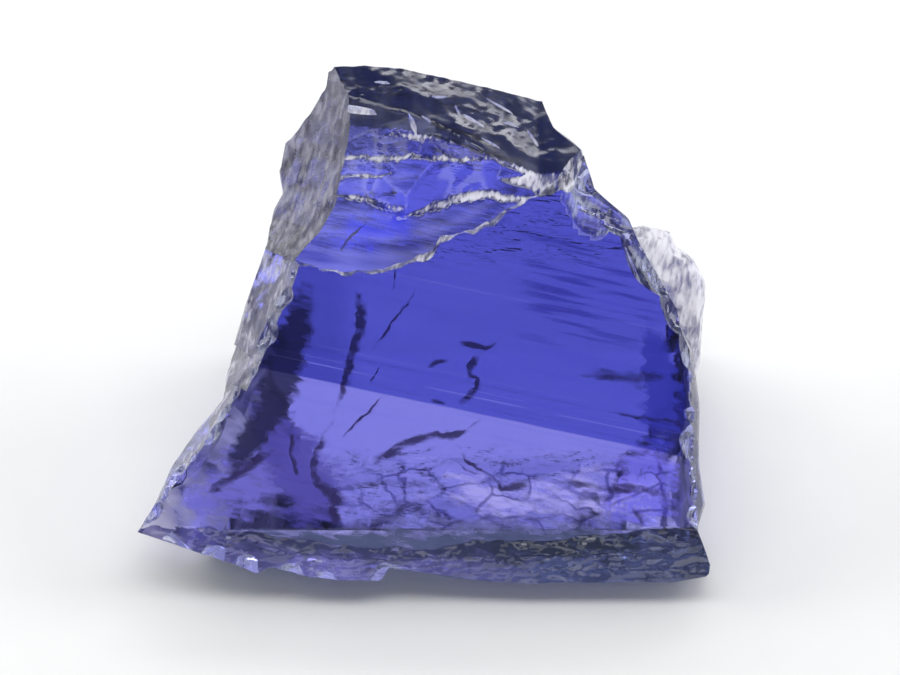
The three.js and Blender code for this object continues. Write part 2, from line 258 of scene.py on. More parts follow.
def block(name, columns, rows, shape, finish, place=on_ground):
    """A closed block. shape(u, v, w) places its points: w is 0 on the break and 1 on the block's top."""
    u, v = np.meshgrid(np.linspace(0, 1, columns + 1), np.linspace(0, 1, rows + 1))
    low = np.stack(np.broadcast_arrays(*shape(u, v, 0)), axis=-1).reshape(-1, 3)
    high = np.stack(np.broadcast_arrays(*shape(u, v, 1)), axis=-1).reshape(-1, 3)
    count = len(low)
    index = np.arange(count).reshape(rows + 1, columns + 1)
    a, b, c, d = index[:-1, :-1], index[:-1, 1:], index[1:, 1:], index[1:, :-1]
    rim = np.concatenate([index[0, :-1], index[:-1, -1], index[-1, :0:-1], index[:0:-1, 0]])
    after = np.roll(rim, -1)
    faces = np.stack([a, d, c, b], axis=-1).reshape(-1, 4).tolist()
    faces += (np.stack([a, b, c, d], axis=-1).reshape(-1, 4) + count).tolist()
    faces += np.stack([rim, after, after + count, rim + count], axis=-1).tolist()
    return solid(name, place(np.concatenate([low, high])), faces, finish)


def resampled(line, spacing):
    """A line of points with more points on its straight stretches, `spacing` apart."""
    line = np.asarray(line, float)
    steps = np.hypot(*np.diff(line[:, :2], axis=0).T)
    far = np.concatenate([[0], np.cumsum(steps)])
    places = np.linspace(0, far[-1], int(far[-1] / spacing) + 1)
    return np.stack([np.interp(places, far, column) for column in line.T], axis=-1)


# %% [markdown]
# ## The blank
# The blank has the outline of the stone as the camera sees it, carried straight back from the
# face and swelling a little behind it. A thin layered edge shows along the real stone's left
# side, so the wall is given ridges that run round it at each depth, and soft waves on top.

# %% Outline of the blank
# Each point is its x and y on the face, and how much the blank swells out behind it.
OUTLINE = [
    (-8.05, 1.65, 0), (-7.45, 2.55, 0.12), (-6.9, 3.6, 0.28), (-6.2, 4.5, 0.3), (-5.5, 5.4, 0.2),
    (-4.95, 6.75, 0.5), (-4.7, 8.15, 0.3), (-4.5, 9.5, 0.05), (-4.3, 10.65, 0), (-4.05, 11.2, 0),
    (-4.15, 11.8, 0), (-3.95, 12.8, 0), (-3.8, 13.75, 0), (-3.1, 14.2, 0), (-2.7, 14.7, 0),
    (-2.2, 14.8, 0), (-0.2, 14.85, 0), (0.6, 14.7, 0), (2.1, 14.4, 0), (3.15, 14.15, 0),
    (3.65, 13.05, 0), (4.4, 12.4, 0), (4.75, 11.25, 0), (5.7, 10.45, 0), (5.95, 9.85, 0),
    (6.6, 8.7, 0), (7.05, 7.85, 0.05), (7.1, 7.45, 0.1), (7.35, 6.75, 0.2), (7.42, 5.3, 0.35),
    (7.42, 3.7, 0.38), (7.5, 2.6, 0.52), (7.6, 1.75, 0.1), (7.85, 1.15, 0), (8, 0.7, 0),
    (7.95, 0.4, 0), (7.1, 0.25, 0), (6, 0.1, 0), (4.9, 0, 0), (3.8, 0.05, 0), (2.7, 0.2, 0),
    (1.5, 0.3, 0), (-0.7, 0.6, 0), (-1, 0.67, 0), (-1.25, 0.25, 0), (-2.1, 0.28, 0),
    (-3.5, 0.45, 0), (-4.35, 0.67, 0), (-4.7, 0.48, 0), (-5.2, 0.67, 0), (-6.3, 1.05, 0),
    (-7.3, 1.4, 0),
]
SWELL = [(0, 0), (0.8, 0.7), (2.4, 1), (4.5, 0.6), (8, 0.3), (16, 0.3)]  # by depth behind the face
BLANK_MIDDLE = (0.5, 6.5)
RING_GRID = 0.13  # how far apart the points of a ring are
BLANK_DEPTHS = np.concatenate([[-0.4], np.linspace(0, 2.4, 25), np.linspace(2.6, 9, 30), [12, 16]])


def blank():
    ring = resampled(OUTLINE + OUTLINE[:1], RING_GRID)[:-1]
    out = ring[:, :2] - BLANK_MIDDLE
    out /= np.linalg.norm(out, axis=1, keepdims=True)
    round_it = np.arange(len(ring)) * RING_GRID
    layers = []
    for depth in BLANK_DEPTHS:
        swelling = ring[:, 2] * np.interp(depth, *zip(*SWELL))
        ridges = 0.035 * waves(round_it, depth, 0.5, 11, stretch=5) + 0.03 * waves(round_it, depth, 1.4, 12)
        sides = smooth(depth, 0.02, 0.5) * ridges * (1 - 0.85 * smooth(ring[:, 0], 4, 6))
        edge = ring[:, :2] + out * (swelling + sides)[:, None]
        layers.append(np.column_stack([edge, np.full(len(ring), -depth)]))
    return loft("blank", layers, "wall")


stone = blank()
print("blank:", len(stone.data.polygons), "faces")

# %% [markdown]
# ## The shoulder
# A lumpy, frosted shoulder stands out behind the right side. It is a second loft, joined to the
# blank. Its rings are uneven, and bites all over it make it look sugary in the light.

# %% Shoulder
SHOULDER = [
    (4.8, 9.3), (5.6, 10.2), (6.2, 10.32), (6.6, 10.22), (7, 10.05), (7.1, 9.75), (7.5, 9.5),
    (7.75, 9.2), (7.95, 8.8), (8, 8.25), (7.9, 7.5), (7.85, 6.6), (7.7, 5.7), (7.2, 5), (6, 5.6),
]
# Each layer is its depth behind the face, its size and its shift to the right.
SHOULDER_LAYERS = [
    (1.9, 0.5, 0), (2.3, 0.82, 0.02), (2.9, 0.96, 0), (3.7, 1, 0), (5, 0.94, -0.06), (7.5, 0.9, -0.1),
    (10.5, 0.86, -0.14),
]
SHOULDER_DEPTHS = np.concatenate([np.linspace(1.9, 5, 22), np.linspace(5.3, 10.5, 14)])
SHOULDER_MIDDLE = np.array([6.1, 7.9])


def shoulder():
    ring = resampled(SHOULDER + SHOULDER[:1], RING_GRID)[:-1]
    knots, sizes, shifts = zip(*SHOULDER_LAYERS)
    round_it = np.arange(len(ring)) * RING_GRID
    layers = []
    for depth in SHOULDER_DEPTHS:
        lumps = bites(round_it, depth, 0.55, 0.07, 21, ((0, 1.5), (15, 6))) * (1 - smooth(depth, 4.5, 6))
        size = np.interp(depth, knots, sizes) * (1 + 0.25 * lumps + 0.012 * waves(round_it, depth, 0.5, 22))
        edge = SHOULDER_MIDDLE + (ring - SHOULDER_MIDDLE) * size[:, None]
        edge[:, 0] += np.interp(depth, knots, shifts)
        layers.append(np.column_stack([edge, np.full(len(ring), -depth)]))
    return loft("shoulder", layers, "shoulder")


lobe = shoulder()
print("shoulder:", len(lobe.data.polygons), "faces")

# %% [markdown]
# ## The broad face
# The big flat face is a cleavage, along which tanzanite splits almost like a page. It isn't a
# perfect mirror: growth lines cross it in steps too low to measure, all slanting the same way,
# and it waves a little. Its cutter is a block with that relief on its lower side.

# %% Broad face
CLEAR = 1.2  # how far the blocks stand out over the face
GROWTH_SLOPE = 0.2104  # how far the growth lines fall for each millimetre to the right
GROWTH_TURN = -math.atan(GROWTH_SLOPE)
FACE_CUT = ((-9, -0.6), (18, 16.2))  # where the cutter starts, and how far it goes across and up


def spread(start, span, u, v):
    """x and y of a grid that begins at `start` and reaches `span` further."""
    return start[0] + span[0] * u, start[1] + span[1] * v


def broad_face():
    def shape(u, v, w):
        x, y = spread(*FACE_CUT, u, v)
        relief = 0.004 * waves(x, y, 4, 31) + 0.0006 * waves(x, y, 0.9, 32, stretch=7, turn=GROWTH_TURN)
        return x, y, CLEAR if w else relief

    return block("broad_face", columns=110, rows=100, shape=shape, finish="broad_face")


face_cut = broad_face()
print("broad face cutter:", len(face_cut.data.polygons), "faces")

# %% [markdown]
# ## The scooped break
# Above the face a blow has taken a shallow scoop out of the stone, down to a step that crosses
# the whole face. Inside it lie smaller steps, each with a thin riser, bright partly from the lamps
# and partly from a painted highlight. All of them are parts of one height formula: where two
# breaks meet, the lower one wins.

# %% Scoop, its terraces and the crest
SCOOP_STEP = [
    (-6, 9.7), (-3.75, 9.3), (-2.95, 9.05), (-2.25, 8.93), (-1.25, 9), (-0.5, 9.25), (-0.05, 9.42),
    (0.25, 9.6), (0.45, 9.93), (1, 10.03), (1.5, 10.2), (2.1, 10.55), (2.65, 10.9), (3.2, 11.15),
    (3.65, 11.5), (4.1, 12.1), (6, 14),
]
SCOOP_DEEP = 0.33
SCOOP_RUN = 0.42  # how far the main step's riser leans out for each millimetre of its height
SCOOP_BLOW = (-1.2, 15.2)  # where the blow landed
SCOOP_GRID = 0.066  # how far apart the columns of the scoop's grid are
SCOOP_ROWS = 100
SCOOP_REACH = 7  # how far up the face the scoop's cutter goes from the step
CREST_STEP = [
    (-6, 13.6), (-3.2, 13.5), (-1.6, 13.3), (-0.6, 13.25), (0.2, 13.05), (1.1, 12.8), (2, 12.45),
    (3.2, 12), (6, 12.2),
]
# Each terrace is its line across the scoop, its drop, the rise of the floor beyond it, and its
# run: how far the riser leans out for each millimetre of its height.
TERRACE_RUN = 1.9
TERRACES = [
    (
        [
            (-0.95, 10.4), (-0.4, 10.46), (0.15, 10.66), (0.7, 10.82), (1.3, 10.97), (1.9, 11),
            (2.6, 10.9), (3.1, 11),
        ],
        0.26, 0.16, 0.6,
    ),
    ([(-2.6, 11.1), (-2.1, 11.02), (-1.5, 10.85), (-0.9, 10.62), (-0.3, 10.75)], 0.16, 0.18, 0.55),
    ([(-2.7, 11.6), (-2, 11.56), (-1.3, 11.58), (-0.8, 11.7)], 0.14, 0.2, 0.55),
    ([(-2.5, 12.15), (-1.8, 12.1), (-1.2, 12.02), (-0.6, 12.1), (0, 12.3)], 0.2, 0.22, 0.6),
    ([(1.6, 11.45), (2.1, 11.3), (2.95, 11.22), (3.5, 11.5), (4.3, 12.2)], 0.34, 0.3, 1.1),
    ([(-0.5, 12.15), (0.3, 12.1), (1, 11.95), (1.9, 12.05), (2.6, 12.3)], 0.2, 0.24, 0.55),
    ([(-1.6, 12.75), (-0.6, 12.7), (0.3, 12.65), (1.1, 12.4), (1.8, 12.5)], 0.16, 0.24, 0.5),
    ([(0.4, 11.5), (0.9, 11.4), (1.5, 11.5), (2.2, 11.8)], 0.1, 0.2, 0.5),
    ([(-0.2, 12.7), (0.2, 12.45), (0.7, 12.2), (1.4, 11.75)], 0.12, 0.25, 0.5),
]


def height_on(line, x):
    xs, ys = zip(*line)
    return np.interp(x, xs, ys)


def scoop_floor(x, y):
    """The scoop's height behind the face, terraces and ripples included."""
    base = -SCOOP_DEEP - 0.1 * (y - 9) - 0.012 * (y - 9) ** 2 + 0.01 * (x + 0.5) ** 2
    base = base + 0.012 * waves(x, y, 1.6, 41) + 0.0025 * rings(x, y, SCOOP_BLOW, 0.55, 42)
    floor = base
    for number, (line, drop, rise, run) in enumerate(TERRACES):
        first, last = line[0][0], line[-1][0]
        along = np.clip(2 * (x - first) / (last - first) - 1, -1, 1)
        beyond = y - height_on(line, x) - 0.04 * waves(x, y, 0.8, 50 + number)
        low = base - drop * (1 - along**2) + rise * np.abs(beyond)
        riser = base - beyond / (TERRACE_RUN * run)
        floor = np.minimum(floor, np.where(beyond < 0, base, np.maximum(low, riser)))
    return floor


def crest_floor(x, y):
    """The dark crest's height, which turns away over the top of the scoop in knapped bites."""
    beyond = y - height_on(CREST_STEP, x)
    large = bites(x, y, 0.6, 0.055, 61, ((-5, 11.5), (6, 16.5)), stretch=1.6, turn=-0.3)
    small = bites(x, y, 0.26, 0.02, 62, ((-5, 11.5), (6, 16.5)), stretch=2.2, turn=0.4)
    fine = 0.012 * waves(x, y, 0.2, 63, stretch=2)
    start = -0.9 - 0.12 * (x - 0.5)
    return start - 0.86 * beyond + 0.01 + (large + small + fine) * smooth(beyond, -0.1, 0.3)


def scoop_cut():
    line = resampled(SCOOP_STEP, SCOOP_GRID)

    def shape(u, v, w):
        x, start = line[np.round(u * (len(line) - 1)).astype(int)].T
        x, start = x.T, start.T
        y = start + 0.03 * waves(x, 0 * x, 0.4, 43) * (v < 0.5 / SCOOP_ROWS) + SCOOP_REACH * v
        floor = np.minimum(scoop_floor(x, y), crest_floor(x, y))
        run = SCOOP_RUN * np.clip(0.8 + 0.9 * waves(x, 0 * x, 0.9, 44), 0.2, 2)
        lean = np.where(v == 0, run * (CLEAR - floor), 0) if w else 0
        return x, y - lean, CLEAR if w else floor

    return block("scoop", len(line) - 1, SCOOP_ROWS, shape, "scoop")


scooped = scoop_cut()
print("scoop:", len(scooped.data.polygons), "faces")

# %% [markdown]
# ## Slanting breaks along the sides
# A hollow band runs up the left of the scoop, silky with fine lines along it. Its grey is partly
# the left lamp's reflection and partly painted sheen over painted shade. Two slanting breaks go on
# down the left edge, and one takes the corner above the shoulder. Each follows a line on the face
# and turns away behind it by its own tilt.

# %% Edge breaks
BAND_LINE = [
    (-3.95, 8.6), (-3.5, 9.25), (-2.75, 10), (-2.27, 10.8), (-1.91, 11.8), (-1.68, 12.9), (-1.6, 13.75),
    (-1.9, 15),
]
LEFT_UPPER_LINE = [(-5, 5.6), (-4.6, 6.4), (-4.15, 7.5), (-3.75, 8.4), (-3.5, 9.15)]
LEFT_LOWER_LINE = [(-8.3, 1.3), (-7.3, 2.6), (-6.1, 4.2), (-5.35, 5.35), (-4.7, 6.4)]
CORNER_LINE = [(3.4, 13.4), (3.9, 12.3), (4.5, 11.5), (5, 10.7)]
EDGE_GRID = 0.068  # how far apart the points of an edge break's surface are


def edge_break(name, line, tilt, width, hollow, relief, finish):
    """A break that takes what lies on the left hand of `line`; relief(along, out) roughens it."""
    path = resampled(line, EDGE_GRID)
    along = path[-1] - path[0]
    along /= np.linalg.norm(along)
    out = np.array([-along[1], along[0]])
    fall = math.tan(math.radians(tilt))

    def shape(u, v, w):
        column = np.round(u * (len(path) - 1)).astype(int)
        x = path[column, 0] + out[0] * v * width
        y = path[column, 1] + out[1] * v * width
        low = -v * width * fall - 4 * hollow * v * (1 - v) + relief(EDGE_GRID * column, v * width)
        return x, y, CLEAR if w else low

    return block(name, len(path) - 1, int(width / EDGE_GRID), shape, finish)


def silky(along, out):
    """The band's relief: fine lines along it, steps, and lumps on its outer side."""
    lines = 0.022 * waves(along, out, 0.16, 71, stretch=12) + 0.045 * waves(along, out, 0.5, 72, stretch=5)
    steps = 0.11 * smooth(out + 0.15 * waves(along, out, 2.5, 73), 0.78, 0.86)
    lumps = bites(along, out, 0.45, 0.16, 74, ((0, 0.8), (8, 3.5)), stretch=1.6) * smooth(out, 0.95, 1.3)
    return (lines - steps + lumps) * smooth(out, 0, 0.12)


def chipped(seed, size, depth):
    """A relief of knapped bites `size` wide and `depth` deep."""

    def relief(along, out):
        knapped = bites(along, out, size, depth, seed, ((-0.5, -0.2), (8, 3.2)), stretch=1.8)
        return (knapped + 0.25 * depth * waves(along, out, 0.2, seed + 1, stretch=3)) * smooth(out, 0, 0.15)

    return relief


# Each is its line, its tilt behind the face in degrees, its width, how hollow it is, and its relief.
edge_cuts = [
    edge_break("band", BAND_LINE, 57, 3.4, 0.35, silky, "band"),
    edge_break("left_upper_edge", LEFT_UPPER_LINE, 63, 1.6, 0.1, chipped(81, 0.42, 0.12), "left_edge"),
    edge_break("left_lower_edge", LEFT_LOWER_LINE, 74, 1.6, 0.05, chipped(83, 0.6, 0.14), "left_edge"),
    edge_break("corner_edge", CORNER_LINE, 52, 2.2, 0.1, chipped(85, 0.4, 0.09), "chip"),
]
print(len(edge_cuts), "edge breaks")

# %% [markdown]
# ## The layered lower rim
# Under the face's lower edge the crystal has split in thin layers, each lying deeper and lower
# than the last. Three blocks, one after the other, leave three treads, and fine ridges that run
# along them stand for the thinnest layers.

# %% Lower rim
# Each layer is its line, how steeply it falls, and how deep it lies behind the face.
RIM_LAYERS = [
    (
        [
            (-8.6, 2.15), (-7.3, 2.02), (-6.2, 1.8), (-5.4, 1.62), (-4.9, 1.72), (-4.2, 1.5), (-3.1, 1.38),
            (-2.2, 1.3), (-1.5, 1.12), (-0.9, 1.2), (-0.2, 1.1), (0.6, 1.22), (1.3, 1.42), (1.8, 1.36),
            (2.7, 1.42), (3.6, 1.36), (4.6, 1.55), (5.7, 1.62), (6.7, 1.78), (7.5, 1.8), (8.6, 2),
        ],
        0.16, 0.03,
    ),
    (
        [
            (-5.6, 1.05), (-4.5, 1.12), (-3.4, 1.02), (-2.3, 0.88), (-1.4, 0.86), (-0.4, 0.82), (0.8, 0.95),
            (1.9, 0.92), (3, 0.98), (4.2, 0.94), (5.4, 1.05), (6.6, 1.1), (7.4, 1.22), (8.6, 1.3),
        ],
        0.2, 0.12,
    ),
    (
        [
            (-0.6, 0.52), (0.6, 0.58), (1.8, 0.52), (3.1, 0.54), (4.4, 0.5), (5.6, 0.56), (6.8, 0.56),
            (8.2, 0.7),
        ],
        0.24, 0.22,
    ),
]
RIM_REACH = 2.6  # how far each layer's cutter goes down from its line
RIM_GRID = 0.07
RIM_ROWS = 40
RIM_TOP = 1.5  # the height on the face from which the layers fall
RIM_LEAN = 0.4  # how far the step over a layer leans for each millimetre of its height


def rim_cut(number, line, slope, sink):
    path = resampled(line, RIM_GRID)

    def shape(u, v, w):
        column = np.round((1 - u) * (len(path) - 1)).astype(int)
        x, start = path[column, 0], path[column, 1]
        start = start + 0.05 * waves(x, 0 * x, 0.5, 91 + number)
        y = start - RIM_REACH * v
        fine = 0.016 * waves(x, y, 0.11, 94 + number, stretch=9)
        ridges = fine + 0.02 * waves(x, y, 0.5, 97 + number, stretch=2)
        knapped = bites(x, y, 0.5, 0.05, 100 + number, ((-8.5, -1), (8.5, 2.2)), stretch=2.2)
        floor = -sink - slope * (RIM_TOP - y) + ridges + knapped
        lean = np.where(v == 0, RIM_LEAN * (CLEAR - floor), 0) if w else 0
        return x, y + lean, CLEAR if w else floor

    return block(f"rim_{number}", len(path) - 1, RIM_ROWS, shape, "rim")


rim_cuts = [rim_cut(number, *layer) for number, layer in enumerate(RIM_LAYERS)]
print(len(rim_cuts), "rim layers")

# %% [markdown]
# ## Underside and back
# The stone lies on a flat break, and its back is another one, nearly upright. Together they act
# like the corner of a mirror room: light that enters through the broad face is thrown back out
# of it, which is why the face glows so evenly. Bites in the front of the underside are seen
# through the face as a mosaic. Neither relief may stand out: the underside stays flat where it
# touches the ground.

# %% Underside, back and left back
BACK_DISTANCE = 11.5  # how far behind the face frame's origin the back is
BACK_LEAN = math.radians(2.6)
FRONT_CONTACT = 3.7  # how far behind the face frame's origin the stone meets the ground
FRONT_RISE = 0.26  # how steeply the underside rises from there to the lower edge
MOSAIC = ((-3, 2.6), (9, 6.6))  # the bitten part of the underside, in the ground's frame
# Where each cutter starts, and how far it goes on from there, over its own flat break.
UNDERSIDE_CUT = ((9.5, 0.2), (-19, 12.6))
UNDERCUT_CUT = ((9.5, -1), (-19, FRONT_CONTACT + 1))
BACK_CUT = ((-10, -1.5), (20, 14.5))
LEFT_BACK_CUT = ((-9, -5), (18, 14))


def as_given(points):
    return points


def standing(point, outward):
    """Carries a flat break's own frame, z outward and y up, to the ground's frame."""
    z = Vector(outward).normalized()
    side = Vector((0, 0, 1)).cross(z).normalized()
    turn = np.array([side, z.cross(side), z])
    return lambda points: np.asarray(points) @ turn + np.array(point, float)


def underside():
    (x0, y0), (x1, y1) = MOSAIC

    def shape(u, v, w):
        x, y = spread(*UNDERSIDE_CUT, u, v)
        inside = smooth(x, x0, x0 + 1) * smooth(y, y0, y0 + 0.6) * (1 - smooth(y, y1 - 0.8, y1))
        cells = bites(x, y, 0.9, 0.003, 111, MOSAIC, stretch=1.5)
        bitten = inside * (0.003 + cells)
        grain = 0.001 + 0.001 * waves(x, y, 1.4, 112, stretch=2, turn=0.3)
        return x, y, -3 if w else np.maximum(0, bitten + grain)

    return block("underside", 130, 95, shape, "underside", as_given)


def undercut():
    """The broken underside of the front edge, which hangs over the ground."""

    def shape(u, v, w):
        x, y = spread(*UNDERCUT_CUT, u, v)
        start = smooth(FRONT_CONTACT - y, 0, 0.6)
        knapped = bites(x, y, 0.6, 0.08, 115, ((-9, -1), (9, 4)), stretch=1.8) * start
        return x, y, -3 if w else FRONT_RISE * (FRONT_CONTACT - y) - knapped - 0.09 * start

    return block("undercut", 130, 40, shape, "undercut", as_given)


def back():
    def shape(u, v, w):
        x, y = spread(*BACK_CUT, u, v)
        relief = 0.003 * waves(x, y, 4.5, 121)
        return x, y, 3 if w else relief - 0.02

    place = standing((0, BACK_DISTANCE, 0), (0, 1, math.tan(BACK_LEAN)))
    return block("back", 100, 74, shape, "back", place)


def left_back():
    def shape(u, v, w):
        x, y = spread(*LEFT_BACK_CUT, u, v)
        knapped = bites(x, y, 0.9, 0.06, 131, ((-6, -4), (8, 9)), stretch=2.5, turn=1.2)
        return x, y, 6 if w else knapped + 0.006 * waves(x, y, 0.4, 132, stretch=4, turn=1.3) - 0.06

    return block("left_back", 110, 90, shape, "scar", standing((-5.8, 9, 3), (-0.9, 0.42, -0.05)))


def trimming(name, low, high):
    """A plain box that takes away the rough waste beyond a flat break."""
    (x0, y0, z0), (x1, y1, z1) = low, high

    def shape(u, v, w):
        return x0 + (x1 - x0) * u, y0 + (y1 - y0) * v, z1 if w else z0

    return block(name, 1, 1, shape, "wall", as_given)


ground_cuts = [
    trimming("waste_below", (-12, -3, -15), (12, 25, -0.3)),
    trimming("waste_behind", (-12, 12.4, -1), (12, 25, 16)),
    underside(), undercut(), back(), left_back(),
]
print(len(ground_cuts), "flat breaks")

# %% [markdown]
# ## Scars and chips
# Where an edge was struck, a scar like the inside of a shell is left. A scar is a bowl with fine
# rings around the point of the blow, pressed into the stone. The large ones are the same as in
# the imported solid; the small ones run along the sharp edges, drawn with a fixed seed.

# %% Scars
SCAR_SIDES = 44
SCAR_LAYERS = 12
SCAR_CLEAR = 1.5


def scar(name, point, outward, half, deep, turn=0, up=(0, 1, 0), place=on_ground, finish="chip", rough=0.03):
    """A bowl `deep` deep and `half` wide and high, pressed in at `point`, square on to `outward`."""
    z = Vector(outward).normalized()
    x = Vector(up).cross(z).normalized()
    frame_there = Matrix((x, z.cross(x), z)).transposed() @ Matrix.Rotation(math.radians(turn), 3, "Z")
    axes = np.array(frame_there).T
    angle = np.arange(SCAR_SIDES) / SCAR_SIDES * math.tau
    lip = math.sqrt(1 + SCAR_CLEAR / deep)
    layers = []
    for share in np.append(np.linspace(0.02, 1, SCAR_LAYERS), lip):
        wobble = 1 + 0.08 * np.sin(3 * angle + 7 * deep) + 0.05 * np.sin(5 * angle + half[0])
        ripple = rough * deep * math.sin(5 * math.tau * share) * (share < 1)
        px = half[0] * share * wobble * np.cos(angle)
        py = half[1] * share * wobble * np.sin(angle)
        pz = np.full(SCAR_SIDES, deep * (share * share - 1) + ripple)
        layers.append(np.stack([px, py, pz], axis=-1) @ axes + np.array(point, float))
    return loft(name, layers, finish, place)


UP = (0, 0, 1)
# Each scar is its point, the way it faces, its half width and height, and its depth. The large
# ones are in the ground's frame, the edge chips on the face, with their turn in degrees.
LARGE_SCARS = [
    ((8.25, 11.1, 1.2), (0.7, 0.7, -0.1), (1.7, 1.6), 0.4),
    ((-6.6, 4.2, 0.6), (-0.7, 0.3, -0.8), (3, 1.6), 0.5),
    ((4.8, 11.6, 9.4), (0.6, 0.8, 0.6), (2.2, 2), 0.5),
    ((0.4, 11.4, 11), (0.15, 0.65, 0.8), (1.7, 1.1), 0.35),
    ((7.6, 10.2, 4), (0.9, 0.35, 0.3), (1, 1.7), 0.3),
    ((-4.9, 8.7, 6.6), (-0.9, 0.42, 0.12), (1.5, 1.7), 0.3),
    ((-6.3, 5.4, 2.6), (-0.88, 0.36, -0.1), (1.7, 1.5), 0.35),
    ((7.55, 5.6, 1.3), (0.95, -0.1, 0.1), (1.8, 1.2), 0.3),
]
EDGE_CHIPS = [
    ((5.2, 10.35, -0.1), (0.5, 0.5, 0.7), (0.7, 0.45), 0.16, -30),
    ((4.7, 10.75, -0.2), (0.3, 0.5, 0.8), (0.55, 0.35), 0.12, -20),
    ((5.85, 9.8, -0.1), (0.7, 0.3, 0.65), (0.4, 0.6), 0.14, 20),
    ((6.45, 8.9, -0.15), (0.8, 0.3, 0.5), (0.5, 0.75), 0.2, 25),
    ((6.85, 8.0, -0.15), (0.85, 0.1, 0.5), (0.45, 0.65), 0.2, 20),
    ((7.25, 6.8, -0.1), (0.9, 0.1, 0.4), (0.3, 0.5), 0.1, 10),
    ((4.55, 10.6, 0), (0.12, 0.1, 1), (0.85, 0.9), 0.1, 0),
    ((-4.05, 8.35, -0.3), (-0.7, 0.1, 0.7), (0.5, 0.5), 0.2, -20),
    ((-4.45, 7.25, -0.4), (-0.75, 0.2, 0.6), (0.5, 0.6), 0.2, -20),
    ((-1.1, 0.5, -0.3), (0.1, -0.8, 0.6), (0.5, 0.45), 0.25, 0),
]
# Silvery chips in the scoop and the crest, their silver a painted highlight: the middle on the face, the
# half sizes and the turn.
SILVER_CHIPS = [
    (-2.0, 13.5, 0.9, 0.13, 172), (-0.3, 12.95, 0.07, 0.36, 20), (0.05, 13.25, 0.05, 0.24, 50),
    (1.4, 13.2, 0.06, 0.36, 60), (2.2, 13.6, 0.42, 0.05, 150), (3.0, 12.8, 0.05, 0.34, 30),
    (1.9, 12.55, 0.3, 0.045, 150), (0.5, 13.9, 0.26, 0.05, 10), (-1.2, 14.3, 0.22, 0.06, 175),
    (2.5, 13.1, 0.05, 0.3, 75), (0.9, 13.55, 0.05, 0.22, 20),
]
# Edges with small chips: a line on the face, the way they face, how many and how large.
CHIPPED_EDGES = [
    ([(4.0, 11.9), (4.9, 10.75), (5.9, 9.75), (6.7, 8.45), (7.2, 7.3)], (0.6, 0.3, 0.7), 16, 0.26),
    ([(7.35, 6.6), (7.45, 4.5), (7.5, 2.2)], (0.9, 0, 0.45), 9, 0.22),
    ([(-7.6, 2.2), (-6.2, 4.1), (-5.2, 5.6), (-4.4, 7.2), (-3.7, 8.8)], (-0.75, 0.3, 0.5), 12, 0.24),
    ([(-7.2, 1.45), (-4, 0.62), (-1.4, 0.35), (2, 0.3), (5, 0.05), (7.6, 0.35)], (0, -0.75, 0.6), 14, 0.28),
]


def small_chips():
    draw = np.random.default_rng(141)
    made = []
    for line, outward, count, size in CHIPPED_EDGES:
        path = resampled(line, 0.05)
        for at in path[np.linspace(0, len(path) - 1, count).astype(int)]:
            point = (*(at + draw.normal(0, 0.05, 2)), draw.uniform(-0.3, -0.05))
            facing = np.array(outward) + draw.normal(0, 0.2, 3)
            half = size * draw.uniform(0.6, 1.4, 2)
            deep = 0.35 * half.min()
            name = f"small_chip_{len(made)}"
            made.append(scar(name, point, facing, half, deep, draw.uniform(-60, 60)))
    return made


scar_cuts = [
    scar(f"scar_{k}", *each, up=UP, place=as_given, finish="scar") for k, each in enumerate(LARGE_SCARS)
]
chip_cuts = [scar(f"edge_chip_{k}", *each) for k, each in enumerate(EDGE_CHIPS)] + small_chips()
for number, (x, y, half_x, half_y, turn) in enumerate(SILVER_CHIPS):
    height = min(scoop_floor(x, y), crest_floor(x, y)) + 0.02
    name = f"silver_chip_{number}"
    chip_cuts.append(scar(name, (x, y, height), (0, 0.35, 1), (half_x, half_y), 0.09, turn, finish="riser"))
print(len(scar_cuts), "scars and", len(chip_cuts), "chips")

# %% [markdown]
# ## Breaking the stone
# The shoulder is joined to the blank, and then every cutter takes its bite, the large breaks
# first. The modifiers are stacked and worked out once, and the result is kept as plain points
# and faces.

# %% All cuts
def carve(body, tool, operation="DIFFERENCE"):
    cut = body.modifiers.new(tool.name, "BOOLEAN")
    cut.solver = "MANIFOLD"
    cut.operation = operation
    cut.object = tool


carve(stone, lobe, "UNION")
for tool in [face_cut, scooped, *edge_cuts, *rim_cuts, *ground_cuts, *scar_cuts, *chip_cuts]:
    carve(stone, tool)

depsgraph = bpy.context.evaluated_depsgraph_get()
broken = bpy.data.meshes.new_from_object(stone.evaluated_get(depsgraph))
for tool in list(stock.objects):
    bpy.data.objects.remove(tool)
bpy.data.collections.remove(stock)


def read(items, name, width, kind=float):
    values = np.empty(len(items) * width, kind)
    items.foreach_get(name, values)
    return values.reshape(-1, width) if width > 1 else values


points = read(broken.vertices, "co", 3)
faces = [tuple(face.vertices) for face in broken.polygons]
numbers = read(broken.attributes["finish"].data, "value", 1, np.int32)
normals = read(broken.polygons, "normal", 3)
middles = on_face(read(broken.polygons, "center", 3))
facing = on_face(normals + on_ground((0, 0, 0)))
print("broken stone:", len(faces), "faces")

# %% [markdown]
# ## Finishes by place
# Some breaks change finish along the way: the scoop's risers carry white crust as a painted
# highlight, its top is the crest with its dark painted shade, and the walls are pale on the left.
# The rim's painted shade goes from violet on the left to dark teal on the right, and the scoop's
# painted shade is lifted upwards and to the left as painted light. Faces turned to the ground take
# the underside's painted shadow. This could be painted by hand, but a rule on each face's place is
# quick and exact.

# %% Finish of each face
tints, frosts, crusts, crust_and_sheen_colours = (np.array(column)[numbers] for column in zip(*FINISHES_AND_PAINTED_SHADE.values()))


def refinish(chosen, name):
    numbers[chosen] = NUMBER[name]
    tints[chosen], frosts[chosen], crusts[chosen], crust_and_sheen_colours[chosen] = FINISHES_AND_PAINTED_SHADE[name]


